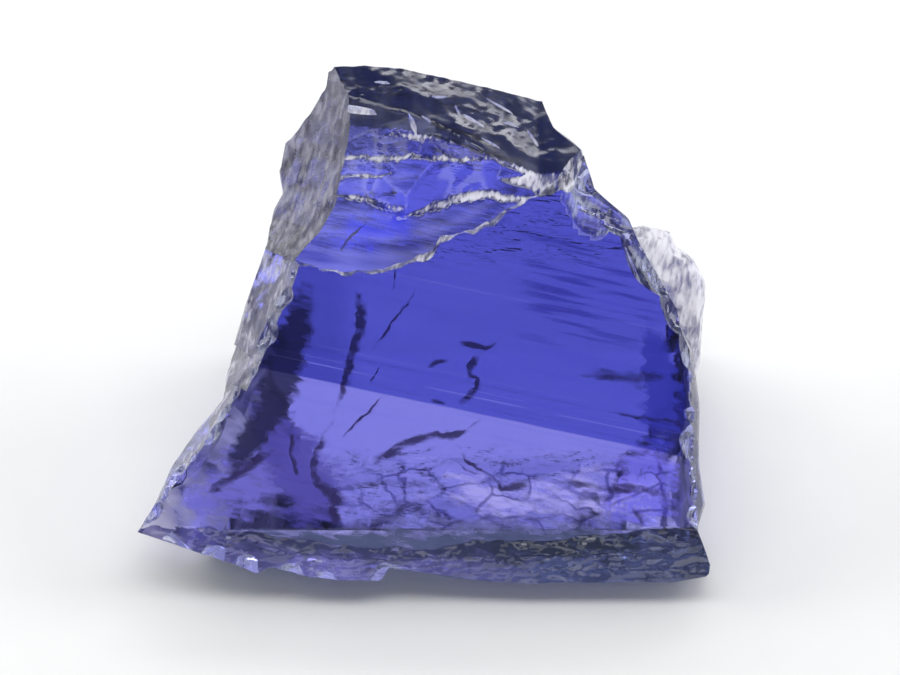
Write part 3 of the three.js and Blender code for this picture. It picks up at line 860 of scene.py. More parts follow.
fx, fy, fz = middles.T
in_scoop = numbers == NUMBER["scoop"]
above_scoop = fy - height_on(CREST_STEP, fx)
in_crest = in_scoop & (fz < crest_floor(fx, fy) + 0.08) & (above_scoop > -0.3)
# the crest's dark tint is painted shade
refinish(in_crest, "crest")
# the risers' white crust is a painted highlight
refinish(in_scoop & ~in_crest & (facing[:, 1] > 0.4) & (above_scoop < 0), "riser")
# the left edge's pale crust is partly painted highlight
refinish((numbers == NUMBER["wall"]) & (fx < -3.5) & (fz > -2.5), "left_edge")
# faces turned to the ground: near-black painted shadow that dims the light reaching the paper
refinish(np.isin(numbers, (NUMBER["wall"], NUMBER["left_edge"])) & (normals[:, 2] < -0.35), "underside")

# painted shade on the rim: violet on the left, turning to dark teal towards the right
RIM_SHADE_VIOLET = np.array((0.14, 0.13, 0.32))
RIM_SHADE_TEAL = np.array((0.02, 0.035, 0.06))
in_rim = numbers == NUMBER["rim"]
teal_shade_share = smooth(fx, -3, 4)[in_rim, None]
tints[in_rim] = (1 - teal_shade_share) * RIM_SHADE_VIOLET + teal_shade_share * RIM_SHADE_TEAL
in_scoop = np.isin(numbers, (NUMBER["scoop"], NUMBER["riser"]))
# painted light: the scoop's painted shade is lifted upwards and to the left
painted_light_upwards = 0.65 + 0.75 * smooth(fy, 9.2, 11) + 0.8 * smooth(fy, 11.4, 12.4)
painted_light_leftwards = 1 + 1.6 * smooth(-fx, 0, 2)
tints[in_scoop] *= painted_light_upwards[in_scoop, None]
tints[in_scoop] *= painted_light_leftwards[in_scoop, None]
print("risers:", int((numbers == NUMBER["riser"]).sum()), "crest:", int(in_crest.sum()))

# %% [markdown]
# ## Crust
# Crushed crystal stays on the struck places as a sugary white crust. On the scoop's risers the
# white crust is a painted highlight, on the band its grey is painted sheen, and on the left edge
# it is partly painted highlight. It could be painted, but paint can't lie over clear glass
# without making it dull. So the crust is a second skin just above those faces, with holes in it,
# in a material of its own. Each point takes the average of the faces around it, so that the
# crust thins out softly instead of ending in a sawtooth.

# %% Crust skin
CRUST_LIFT = 0.006  # how high over the faces the crust lies

crusted = np.flatnonzero(crusts > 0)
corner_normals = read(broken.vertices, "normal", 3)
used = np.unique(np.concatenate([faces[k] for k in crusted]))
renamed = np.full(len(points), -1)
renamed[used] = len(points) + np.arange(len(used))
crust_faces = [tuple(renamed[list(faces[k])]) for k in crusted]
crust_points = points[used] + CRUST_LIFT * corner_normals[used]
corners = np.concatenate(faces)
shares = np.repeat(crusts, [len(face) for face in faces])
crust_amount = np.bincount(corners, shares) / np.bincount(corners)
print("crust:", len(crust_faces), "faces")

# %% [markdown]
# ## Cracks, painted shade and painted glow
# Healed cracks hang inside the stone, dark and smoky, sharp where they reach the face and
# fading as they go down. They could be painted on the face, but then they would slide over what
# lies behind. Each one is a thin ribbon just under the face instead, and each of its points
# says how dense it is. The density fades to nothing at the ribbon's sides and ends. Broad dark
# ribbons are painted shade, where the stone looks dark from how light passes through it. Deeper,
# paler ribbons are painted light: they glow faintly in place of the light that cracks too small
# to see scatter in the real stone, and they also cover dark places that come from the guessed back.

# %% Lines of the cracks
# Each crack is its line with a width at each point, its density, and how deep it goes.
CRACKS = [
    (
        [
            (-1.8, 8.93, 0.08), (-1.88, 8.4, 0.22), (-1.74, 7.85, 0.3), (-1.76, 7.3, 0.3),
            (-1.96, 6.8, 0.26), (-2.13, 6.1, 0.24), (-2.3, 5.5, 0.2), (-2.46, 5.05, 0.24),
            (-2.55, 4.8, 0.2),
        ],
        0.95, 0.5,
    ),
    (
        [
            (-2.46, 4.95, 0.12), (-2.83, 4.25, 0.2), (-3.02, 3.8, 0.24), (-3.08, 3.3, 0.26),
            (-2.94, 3.0, 0.3), (-2.5, 2.8, 0.42), (-2.42, 2.45, 0.44), (-2.48, 2.0, 0.36),
            (-2.68, 1.4, 0.2),
        ],
        0.85, 0.4,
    ),
    (
        [
            (-0.2, 8.54, 0.07), (-0.5, 8.0, 0.09), (-0.9, 7.53, 0.07), (-1.18, 7.1, 0.1),
            (-1.54, 6.66, 0.05),
        ],
        0.9, 0.2,
    ),
    ([(-1.2, 6.36, 0.05), (-1.57, 5.75, 0.07)], 0.8, 0.1),
    ([(-1.12, 5.5, 0.07), (-1.57, 5.0, 0.09), (-1.96, 4.65, 0.09), (-2.4, 4.23, 0.05)], 0.85, 0.3),
    ([(-0.8, 9.05, 0.05), (-0.85, 8.7, 0.07), (-0.87, 8.37, 0.04)], 0.6, 0.1),
    (
        [
            (0.88, 6.98, 0.12), (1.3, 6.94, 0.2), (1.68, 6.83, 0.16), (1.9, 6.88, 0.1), (2.1, 7.06, 0.07),
        ],
        0.97, 0.15,
    ),
    (
        [
            (1.68, 6.8, 0.12), (1.5, 6.5, 0.22), (1.3, 6.28, 0.24), (1.3, 6.05, 0.16), (1.5, 6.0, 0.12),
            (1.5, 5.68, 0.16), (1.2, 5.4, 0.26), (0.92, 5.18, 0.18),
        ],
        0.97, 0.15,
    ),
    ([(-0.05, 6.22, 0.1), (0.35, 6.42, 0.16), (0.73, 6.5, 0.08)], 0.97, 0.12),
    ([(0.1, 5.38, 0.1), (0.35, 5.32, 0.12), (0.6, 5.27, 0.06)], 0.95, 0.1),
    (
        [
            (1.7, 4.92, 0.06), (1.45, 4.68, 0.1), (1.06, 4.4, 0.14), (0.8, 4.3, 0.3), (0.22, 4.3, 0.26),
            (-0.2, 4.22, 0.24), (-0.6, 4.06, 0.26), (-1.15, 3.7, 0.26), (-1.57, 3.44, 0.24),
            (-1.8, 3.16, 0.14),
        ],
        0.9, 0.4,
    ),
    (
        [
            (-4.06, 4.48, 0.16), (-3.7, 4.4, 0.14), (-3.72, 3.84, 0.14), (-3.58, 3.33, 0.12),
            (-3.55, 2.94, 0.06),
        ],
        0.85, 0.3,
    ),
    (
        [
            (-4.06, 3.95, 0.16), (-4.56, 3.75, 0.26), (-4.93, 3.44, 0.28), (-5.43, 3.08, 0.32),
            (-5.85, 2.83, 0.3), (-6.19, 2.52, 0.2),
        ],
        0.88, 0.3,
    ),
    (
        [
            (3.3, 3.1, 0.14), (4.1, 3.1, 0.26), (5.12, 2.91, 0.3), (6.0, 2.9, 0.26), (6.66, 2.8, 0.3),
            (7.45, 2.5, 0.26),
        ],
        0.72, 0.2,
    ),
    (
        [
            (0.87, 4.25, 0.1), (1.12, 3.7, 0.1), (1.51, 3.44, 0.12), (1.96, 3.2, 0.12),
            (2.16, 2.88, 0.16), (2.5, 2.95, 0.24), (2.8, 3.0, 0.2), (3.2, 3.05, 0.1),
        ],
        0.85, 0.15,
    ),
    ([(5.7, 2.4, 0.1), (6.02, 2.16, 0.22), (6.16, 1.82, 0.14)], 0.85, 0.1),
    ([(4.93, 5.1, 0.08), (5.77, 4.93, 0.12), (6.6, 4.82, 0.16), (7.35, 4.7, 0.14)], 0.85, 0.06),
    (
        [
            (-1.62, 10.62, 0.05), (-1.7, 10.25, 0.07), (-2.1, 9.9, 0.08), (-2.35, 9.55, 0.09),
            (-2.2, 9.35, 0.07),
        ],
        0.85, 0.1,
    ),
]
DARK = (0.02, 0.014, 0.09)
SHADE_NAVY = (0.01, 0.01, 0.07)
SHADE_TEAL = (0.06, 0.085, 0.17)
# Broad sheets of painted shade: the teal shade over the lower rim, the dark edge inside the left
# side, the dark stripes over the scoop and a dark patch on the right.
PAINTED_SHADE_SHEETS = [
    (
        SHADE_TEAL, [
            (-7.2, 1.75, 0.3), (-5, 1.4, 0.9), (-2.5, 1.3, 1.1), (0, 1.25, 1.2), (2.5, 1.3, 1.3),
            (5, 1.35, 1.4), (7.4, 1.5, 1.2), (7.8, 1.5, 0.6),
        ],
        0.85, 0.0,
    ),
    (
        SHADE_NAVY, [
            (-3.3, 9.0, 0.3), (-3.35, 8.4, 0.9), (-3.5, 7.6, 1.2), (-3.78, 6.8, 1.3), (-4.05, 6.1, 1.4),
            (-4.2, 5.3, 1.3), (-4.7, 4.5, 1.0), (-5.2, 3.8, 0.8), (-5.6, 3.1, 0.6), (-6.0, 2.6, 0.3),
        ],
        1.15, 0.3,
    ),
    (SHADE_NAVY, [(-0.1, 13.3, 0.08), (0.5, 13.0, 0.14), (1.4, 12.7, 0.2), (2.3, 12.3, 0.16)], 0.95, 0.0),
    (SHADE_NAVY, [(0.3, 12.85, 0.08), (1.0, 12.5, 0.16), (1.9, 12.2, 0.18), (2.7, 11.95, 0.12)], 0.95, 0.0),
    (SHADE_NAVY, [(0.0, 12.5, 0.06), (0.5, 12.3, 0.14), (1.1, 12.0, 0.14), (1.6, 11.8, 0.1)], 0.95, 0.0),
    (SHADE_NAVY, [(4.0, 6.05, 0.1), (5.0, 6.1, 0.5), (6.0, 5.9, 0.6), (6.9, 6.1, 0.4), (7.2, 6.3, 0.1)], 0.6, 0.0),
]
# Glowing sheets of painted light: lower left, right, over the lower edge, left end of the scoop.
PAINTED_GLOW_SHEETS = [
    (
        (0.08, 0.07, 0.4), [
            (-4.7, 5.9, 0.6), (-4.5, 5.1, 1.2), (-4.1, 4.3, 1.9), (-3.5, 3.5, 2.4), (-3.1, 2.7, 2.6),
            (-2.8, 1.8, 2.6), (-2.8, 1.4, 2.2),
        ],
        0.95, 0.0,
    ),
    (
        (0.14, 0.12, 0.55), [
            (-4.4, 4.9, 0.3), (-3.9, 4.0, 0.7), (-3.4, 3.1, 0.9), (-2.9, 2.2, 0.8), (-2.7, 1.6, 0.4),
        ],
        0.7, 0.2,
    ),
    (
        (0.24, 0.22, 0.95), [
            (6.9, 4.3, 1.0), (6.5, 3.8, 1.9), (6.1, 3.0, 2.5), (5.9, 2.2, 2.7), (5.9, 1.5, 2.4),
        ],
        0.95, 0.0,
    ),
    (
        (0.2, 0.21, 0.5), [
            (-2.8, 1.7, 0.5), (-1.2, 1.72, 1.0), (0.5, 1.7, 1.1), (3, 1.75, 1.1), (5.5, 1.8, 1.2),
            (7.4, 1.9, 1.0),
        ],
        0.62, 0.0,
    ),
    (
        (0.17, 0.16, 0.62), [
            (-7.3, 2.15, 0.3), (-6.5, 2.35, 1.1), (-5.8, 2.7, 1.9), (-5.1, 3.1, 2.5), (-4.5, 3.0, 2.6),
            (-4.0, 2.5, 2.2), (-3.8, 2.0, 1.4),
        ],
        0.78, 0.15,
    ),
    (
        (0.5, 0.48, 0.98), [
            (-0.9, 2.6, 0.5), (0.6, 2.7, 1.4), (2.5, 2.6, 2.0), (4.6, 2.6, 2.2), (6.8, 2.5, 2.0),
        ],
        0.55, 0.0,
    ),
    (
        (0.12, 0.13, 0.85), [
            (-2.9, 9.6, 0.5), (-2.3, 9.9, 1.2), (-1.5, 10.1, 1.5), (-0.6, 10.2, 1.3), (0.2, 10.3, 0.6),
        ],
        0.66, 0.0,
    ),
    (
        (0.085, 0.09, 0.53), [
            (6.2, 7.7, 0.5), (6.4, 7.0, 0.9), (6.55, 6.3, 1.1), (6.65, 5.6, 1.2), (6.6, 4.9, 1.3),
            (6.55, 4.3, 1.4), (6.6, 3.8, 1.2),
        ],
        1.2, 0.0,
    ),
]
# the glowing sheets of painted light lie this much deeper than the cracks
GLOW_SHEET_DEPTH = 0.35  # how much deeper than the cracks the haze lies
VEIL_GRID = 0.08  # how far apart the rows of a ribbon are
VEIL_COLUMNS = 8
VEIL_TOP = 0.05  # how deep under the face a ribbon's upper side lies
CRACK_SWELL = 1.5  # a ribbon is wider than its line says, because its sides fade out
CRACK_SHARE = 0.9
CRACK_SEED, PAINTED_SHADE_SEED, GLOW_SHEET_SEED = 200, 250, 280


def veil(line, density, deep, seed, one_sided, top):
    """Points, faces and densities of a ribbon under the face that follows `line`."""
    path = resampled(line, VEIL_GRID)
    ahead = np.gradient(path[:, :2], axis=0)
    ahead /= np.linalg.norm(ahead, axis=1, keepdims=True)
    place, v = np.meshgrid(np.arange(len(path)), np.linspace(-1, 1, VEIL_COLUMNS), indexing="ij")
    far = VEIL_GRID * place
    half = 0.5 * path[place, 2] * (1 + 0.3 * waves(far, v, 0.4, seed))
    aside = half * v + 0.02 * waves(far, 0 * v, 0.35, seed + 500)
    x = path[place, 0] - ahead[place, 1] * aside
    y = path[place, 1] + ahead[place, 0] * aside
    z = top(x, y) - VEIL_TOP - deep * (v + 1) / 2
    across = smooth(v, -1, -0.6) * (1 - smooth(v, -0.2, 1)) if one_sided else (1 - v * v)
    ends = np.minimum(1, 4 * np.minimum(place + 0.3, len(path) - 0.7 - place) / len(path))
    grid = np.arange(place.size).reshape(place.shape)
    quads = np.stack([grid[:-1, :-1], grid[1:, :-1], grid[1:, 1:], grid[:-1, 1:]], axis=-1).reshape(-1, 4)
    return on_ground(np.stack([x, y, z], axis=-1)).reshape(-1, 3), quads, (density * across * ends).ravel()


def under_scoop(x, y):
    """The height just under the face, the scoop and the layered rim."""
    inside = y > height_on(SCOOP_STEP, x)
    rim = -0.4 * smooth(1.9 - y, 0, 0.6) - 0.24 * np.clip(RIM_TOP - y, 0, 2)
    return np.where(inside, np.minimum(scoop_floor(x, y), crest_floor(x, y)) - 0.1, rim)


def under_cracks(x, y):
    return under_scoop(x, y) - GLOW_SHEET_DEPTH


veils = []
for k, (line, density, deep) in enumerate(CRACKS):
    swollen = [(x, y, CRACK_SWELL * width) for x, y, width in line]
    veils.append((DARK, *veil(swollen, CRACK_SHARE * density, deep, CRACK_SEED + k, True, under_scoop)))
for k, (colour, *veils_painted_shade_and_glow) in enumerate(PAINTED_SHADE_SHEETS):
    veils.append((colour, *veil(*veils_painted_shade_and_glow, PAINTED_SHADE_SEED + k, False, under_scoop)))
for k, (colour, *glow_sheet) in enumerate(PAINTED_GLOW_SHEETS):
    veils.append((colour, *veil(*glow_sheet, GLOW_SHEET_SEED + k, False, under_cracks)))
print(len(veils), "veils")

# %% [markdown]
# ## One mesh at its real size
# Stone, crust and veils become one mesh. Its points are moved so that the stone stands over the
# origin, and shrunk from millimetres to metres. Each face keeps its tint and frost, and each
# point its density. Edges sharper than a small angle stay crisp, and the rest is smoothed.

# %% Joining the parts
SHARP = math.radians(24)  # edges sharper than this stay crisp

all_points = [points, crust_points]
all_faces = faces + crust_faces
density = [np.zeros(len(points)), crust_amount[used]]
offset = len(points) + len(crust_points)
veil_colours = []
for colour, ribbon_points, ribbon_faces, ribbon_density in veils:
    veil_colours += [colour] * len(ribbon_faces)
    all_points.append(ribbon_points)
    all_faces += (ribbon_faces + offset).tolist()
    density.append(ribbon_density)
    offset += len(ribbon_points)
extra = len(all_faces) - len(faces)
colours = np.concatenate([tints, crust_and_sheen_colours[crusted], np.array(veil_colours)])

mesh = bpy.data.meshes.new(CRYSTAL)
mesh.from_pydata(((np.concatenate(all_points) - STAND) * MM).tolist(), [], all_faces)
tint_layer = mesh.attributes.new("tint", "FLOAT_COLOR", "FACE")
tint_layer.data.foreach_set("color", np.column_stack([colours, np.ones(len(colours))]).ravel())
frost_layer = mesh.attributes.new("frost", "FLOAT", "FACE")
frost_layer.data.foreach_set("value", np.append(frosts, np.zeros(extra)))
density_layer = mesh.attributes.new("veil", "FLOAT", "POINT")
density_layer.data.foreach_set("value", np.concatenate(density))
slots = np.repeat(np.arange(3, dtype=np.int32), (len(faces), len(crust_faces), extra - len(crust_faces)))
mesh.polygons.foreach_set("material_index", slots)
mesh.shade_smooth()
mesh.set_sharp_from_angle(angle=SHARP)

crystal = bpy.data.objects.new(CRYSTAL + "_finished", mesh)
bpy.context.scene.collection.objects.link(crystal)
print("triangles:", sum(len(face) - 2 for face in all_faces))

# %% [markdown]
# ## Nodes in few words
# Materials are built from nodes. They could be placed by hand, but then a change means looking
# for the right box. A few short helpers make a node, fill its sockets and hand back its output,
# so that the materials below read almost like formulas.

# %% Shader helpers
def new_material(name):
    material = bpy.data.materials.new(name)
    material.use_nodes = True
    tree = material.node_tree
    return material, tree, tree.nodes["Principled BSDF"]


def node(tree, kind, **settings):
    made = tree.nodes.new(kind)
    for name, value in settings.items():
        setattr(made, name, value)
    return made


def attribute(tree, name, output):
    return node(tree, "ShaderNodeAttribute", attribute_name=name).outputs[output]


def math_node(tree, operation, *values):
    made = node(tree, "ShaderNodeMath", operation=operation)
    for place, value in enumerate(values):
        if isinstance(value, (int, float)):
            made.inputs[place].default_value = value
        else:
            tree.links.new(value, made.inputs[place])
    return made.outputs[0]


def product(tree, first, *others):
    for other in others:
        first = math_node(tree, "MULTIPLY", first, other)
    return first


def reverse(tree, mask):
    return math_node(tree, "SUBTRACT", 1.0, mask)


def blend_colours(tree, share, first, second, mode="MIX"):
    made = node(tree, "ShaderNodeMix", data_type="RGBA", blend_type=mode)
    for place, value in (("Factor", share), ("A", first), ("B", second)):
        socket = next(s for s in made.inputs if s.name == place and s.enabled)
        if isinstance(value, bpy.types.NodeSocket):
            tree.links.new(value, socket)
        else:
            socket.default_value = value if place == "Factor" else (*value, 1)
    return next(s for s in made.outputs if s.enabled)


def soft_step(tree, value, low, high):
    made = node(tree, "ShaderNodeMapRange", interpolation_type="SMOOTHSTEP")
    tree.links.new(value, made.inputs["Value"])
    made.inputs["From Min"].default_value = low
    made.inputs["From Max"].default_value = high
    return made.outputs["Result"]


# %% [markdown]
# ## Two shared effects
# Every finish here needs to know where it is on the broad face, and every finish has grain. Both
# are node groups, built once: `face_place` gives the place in millimetres, and `grain` gives
# noise that can be drawn out along the growth lines. Each material places them with its own
# values, so that one change to a group changes the whole stone.

# %% Node groups
def new_group(name, inputs, outputs):
    """An empty shader node group, with its named inputs and their usual values."""
    group = bpy.data.node_groups.new(name, "ShaderNodeTree")
    for socket, value in inputs.items():
        made = group.interface.new_socket(socket, in_out="INPUT", socket_type="NodeSocketFloat")
        made.default_value = value
    for socket in outputs:
        group.interface.new_socket(socket, in_out="OUTPUT", socket_type="NodeSocketFloat")
    return group, node(group, "NodeGroupInput").outputs, node(group, "NodeGroupOutput").inputs


def face_place_group():
    """x, y and z on the broad face, in millimetres, and the place along and across the growth lines."""
    group, _, given = new_group("face_place", {}, ("X", "Y", "Z", "Along", "Across"))
    shifted = node(group, "ShaderNodeVectorMath", operation="SUBTRACT")
    group.links.new(node(group, "ShaderNodeTexCoord").outputs["Object"], shifted.inputs[0])
    shifted.inputs[1].default_value = (on_ground((0, 0, 0)) - STAND) * MM
    turned = node(group, "ShaderNodeVectorRotate", rotation_type="X_AXIS")
    group.links.new(shifted.outputs[0], turned.inputs["Vector"])
    turned.inputs["Angle"].default_value = -FACE_LEAN
    scaled = node(group, "ShaderNodeVectorMath", operation="SCALE")
    group.links.new(turned.outputs[0], scaled.inputs[0])
    scaled.inputs["Scale"].default_value = 1 / MM
    split = node(group, "ShaderNodeSeparateXYZ")
    group.links.new(scaled.outputs[0], split.inputs[0])
    x, y, z = split.outputs
    along = math_node(group, "SUBTRACT", x, product(group, y, GROWTH_SLOPE))
    across = math_node(group, "ADD", y, product(group, x, GROWTH_SLOPE))
    for socket, value in zip(given, (x, y, z, along, across)):
        group.links.new(value, socket)
    return group


FACE_PLACE = face_place_group()


def place_on_face(tree):
    return node(tree, "ShaderNodeGroup", node_tree=FACE_PLACE).outputs


def grain_group():
    """Grains of noise: 0 below Low, 1 above High; the scales say how many grains to a millimetre."""
    usual = {"Along Scale": 1, "Across Scale": 1, "Detail": 2, "Low": 0, "High": 1}
    group, asked, given = new_group("grain", usual, ("Mask",))
    place = place_on_face(group)
    joined = node(group, "ShaderNodeCombineXYZ")
    axes = (("X", "Along", "Along Scale"), ("Y", "Across", "Across Scale"), ("Z", "Z", "Across Scale"))
    for axis, where, scale in axes:
        group.links.new(product(group, place[where], asked[scale]), joined.inputs[axis])
    noise = node(group, "ShaderNodeTexNoise")
    noise.inputs["Scale"].default_value = 1
    group.links.new(asked["Detail"], noise.inputs["Detail"])
    group.links.new(joined.outputs[0], noise.inputs["Vector"])
    step = node(group, "ShaderNodeMapRange", interpolation_type="SMOOTHSTEP")
    group.links.new(noise.outputs["Fac"], step.inputs["Value"])
    group.links.new(asked["Low"], step.inputs["From Min"])
    group.links.new(asked["High"], step.inputs["From Max"])
    group.links.new(step.outputs["Result"], given["Mask"])
    return group


GRAIN = grain_group()


def grain(tree, along, across, detail, low, high):
    """Places the grain group in a material, with its own values."""
    made = node(tree, "ShaderNodeGroup", node_tree=GRAIN)
    for socket, value in zip(made.inputs, (along, across, detail, low, high)):
        socket.default_value = value
    return made.outputs["Mask"]


print("groups:", [group.name for group in bpy.data.node_groups])

# %% [markdown]
# ## The pattern on the broad face
# The face shows how the crystal grew. A boundary slants across it, pale violet below and blue
# above, with hair-fine lines side by side, and a net of fine cracks lies over the lower edge.
# Each could be a thin layer inside the stone with a mesh of its own. A tint on the face looks the
# same here, since such layers lie close under it, so each mark is a mask that blends in a colour.

# %% Masks
def thin_line(tree, value, centre, half_width):
    """1 on the line where `value` is `centre`, 0 beyond `half_width` from it."""
    off = math_node(tree, "ABSOLUTE", math_node(tree, "SUBTRACT", value, centre))
    return reverse(tree, soft_step(tree, off, 0.3 * half_width, half_width))


def inside(tree, value, low, high, soft):
    """1 between `low` and `high`, with a rise and a fall `soft` long inside them."""
    rise = soft_step(tree, value, low, low + soft)
    return product(tree, rise, reverse(tree, soft_step(tree, value, high - soft, high)))


# %% Growth zones
ZONE_LINE = 5.28  # where the pale lower zone ends, measured across the growth lines
UPPER_TINT = (0.13, 0.15, 0.56)
LOWER_TINT = (1.0, 0.95, 1.0)
# Soft clouds and fine streaks: the grain's values, its strength and its tint.
CLOUDS = ((0.25, 0.6, 3, 0.4, 0.75), 0.4, (0.6, 0.6, 0.85))
STREAKS = ((0.12, 9, 2, 0.5, 0.72), 0.35, (0.5, 0.5, 0.85))
LEFT_SHADE = ((-2.7, -1.5), 0.8, (0.4, 0.4, 0.6))  # between which x it fades out, strength, tint


def growth_zones_and_left_shade(tree, x, across):
    wander = product(tree, grain(tree, 0.5, 0.5, 2, 0, 1), 0.05)
    above = soft_step(tree, math_node(tree, "ADD", across, wander), ZONE_LINE - 0.01, ZONE_LINE + 0.05)
    zone = blend_colours(tree, above, LOWER_TINT, UPPER_TINT)
    for values, strength, tint in (CLOUDS, STREAKS):
        zone = blend_colours(tree, product(tree, grain(tree, *values), strength), zone, tint, "MULTIPLY")
    # painted shade: the upper zone is made darker on its left
    fade, strength, tint = LEFT_SHADE
    left = reverse(tree, soft_step(tree, x, *fade))
    return blend_colours(tree, product(tree, left, above, strength), zone, tint, "MULTIPLY")


# %% Net of fine cracks
NET_ACROSS = (-2.4, 7.6, 0.8)  # from x to x, and how softly it ends
NET_UP = (1.4, 3.9, 0.5)
NET_CELLS = (0.9, 1.7)  # how many cells to a millimetre, across and up
NET_LINE = (0.02, 0.1)
CELL_TINT = (0.4, 0.42, 0.6)
NET_TINT = (0.03, 0.02, 0.15)


def cells(tree, x, y):
    """1 on the lines of the net, and each cell's own shade."""
    joined = node(tree, "ShaderNodeCombineXYZ")
    wander = product(tree, grain(tree, 1.5, 1.5, 2, 0, 1), 0.5)
    for axis, value, count in zip("XY", (x, y), NET_CELLS):
        tree.links.new(math_node(tree, "ADD", product(tree, value, count), wander), joined.inputs[axis])
    net = node(tree, "ShaderNodeTexVoronoi", feature="DISTANCE_TO_EDGE", voronoi_dimensions="2D")
    shade = node(tree, "ShaderNodeTexVoronoi", feature="F1", voronoi_dimensions="2D")
    for made in (net, shade):
        made.inputs["Scale"].default_value = 1
        tree.links.new(joined.outputs[0], made.inputs["Vector"])
    split = node(tree, "ShaderNodeSeparateColor")
    tree.links.new(shade.outputs["Color"], split.inputs[0])
    return reverse(tree, soft_step(tree, net.outputs["Distance"], *NET_LINE)), split.outputs["Red"]


def with_net(tree, zone, x, y):
    net, shade = cells(tree, x, y)
    in_net = product(tree, inside(tree, y, *NET_UP), inside(tree, x, *NET_ACROSS))
    zone = blend_colours(tree, product(tree, in_net, shade, 0.9), zone, CELL_TINT, "MULTIPLY")
    broken_net = product(tree, net, in_net, grain(tree, 0.8, 0.8, 2, 0.35, 0.55), 0.85)
    return blend_colours(tree, broken_net, zone, NET_TINT)


# %% Growth lines and feathers
# Each line is its place across the growth lines, its half width and its strength.
DARK_LINES = ((5.45, 0.02, 0.5), (6.1, 0.03, 0.5), (5.6, 0.012, 0.5))
LIGHT_LINES = ((5.72, 0.02, 0.8), (5.9, 0.012, 0.5), (6.25, 0.01, 0.35), (8.7, 0.014, 0.45))
DARK_LINE_TINT = (0.02, 0.02, 0.12)
LIGHT_LINE_TINT = (0.7, 0.72, 1.0)
FEATHERS_ACROSS = (2.2, 7, 1.2)
FEATHERS_UP = (6.4, 10.6, 1)
FEATHER_TINT = (0.02, 0.02, 0.22)


def with_lines(tree, zone, across):
    broken_up = grain(tree, 0.4, 3, 2, 0.35, 0.6)
    for lines, tint in ((DARK_LINES, DARK_LINE_TINT), (LIGHT_LINES, LIGHT_LINE_TINT)):
        for centre, half_width, strength in lines:
            mark = product(tree, thin_line(tree, across, centre, half_width), broken_up, strength)
            zone = blend_colours(tree, mark, zone, tint)
    return zone


def with_feathers(tree, zone, x, y):
    place = product(tree, inside(tree, x, *FEATHERS_ACROSS), inside(tree, y, *FEATHERS_UP))
    feathers = product(tree, place, grain(tree, 0.35, 5, 2, 0.48, 0.62), 0.85)
    return blend_colours(tree, feathers, zone, FEATHER_TINT)


print("lines on the face:", len(DARK_LINES) + len(LIGHT_LINES))

# %% [markdown]
# ## The finest relief
# Close up no break is smooth. The crest is knapped, the scoop is streaked, and the growth lines
# make hair-fine steps. Such relief could be cut into the mesh, but it would take far too many
# points. A bump only tilts the surface for the light, and that is enough at this size.

# %% Bump
BUMP_HEIGHT = 0.02 * MM
CREST_SLANT = 0.24  # how far the crest's lower line falls for each millimetre to the right
CREST_FADE = (13.0, 13.3)
SCOOP_FADE = (9.0, 9.4)
BEHIND_FACE = (0.12, 0.3)  # how far behind the face the scoop's streaks set in
# Each relief is its grain's values and its height, as a share of the bump's own.
KNAPPED = ((0.9, 1.5, 2, 0.3, 0.7), 0.6)
STREAKED = ((0.5, 3.5, 3, 0.3, 0.7), 0.12)
GROWN = ((0.4, 14, 2, 0, 1), 0.02)


def bump(tree, x, y, z):
    """The surface's direction, tilted by the relief of the place it is in."""
    in_crest = soft_step(tree, math_node(tree, "ADD", y, product(tree, x, CREST_SLANT)), *CREST_FADE)
    behind = soft_step(tree, product(tree, z, -1.0), *BEHIND_FACE)
    in_scoop = product(tree, soft_step(tree, y, *SCOOP_FADE), behind)
    knapped = product(tree, grain(tree, *KNAPPED[0]), in_crest, KNAPPED[1])
    streaked = product(tree, grain(tree, *STREAKED[0]), in_scoop, STREAKED[1])
    grown = product(tree, grain(tree, *GROWN[0]), GROWN[1])
    made = node(tree, "ShaderNodeBump")
    made.inputs["Strength"].default_value = 1.0
    made.inputs["Distance"].default_value = BUMP_HEIGHT
    height = math_node(tree, "ADD", math_node(tree, "ADD", knapped, streaked), grown)
    tree.links.new(height, made.inputs["Height"])
    return made.outputs["Normal"]


# %% [markdown]
# ## Clear violet-blue
# The body is plain glass with the crystal's own bending of light, 1.70, and it swallows red and
# green much faster than blue, so thick parts are deep blue and thin edges almost clear. A blue
# surface colour alone would be quicker to render, but it would tint thin and thick alike. What
# changes over the surface goes into the colour, the roughness and the bump: the pattern of the
# broad face, and the tints and frosts of the breaks.

# %% The crystal's material
BENDING = 1.70  # the index of refraction
BODY_COLOUR = (0.0, 0.0, 0.69, 1)  # what the body lets through
BODY_DENSITY = 100.0
FACE_SKIN = (0.02, 0.05)  # the pattern is only this near the broad face, in millimetres
PLAIN = (1, 1, 1)


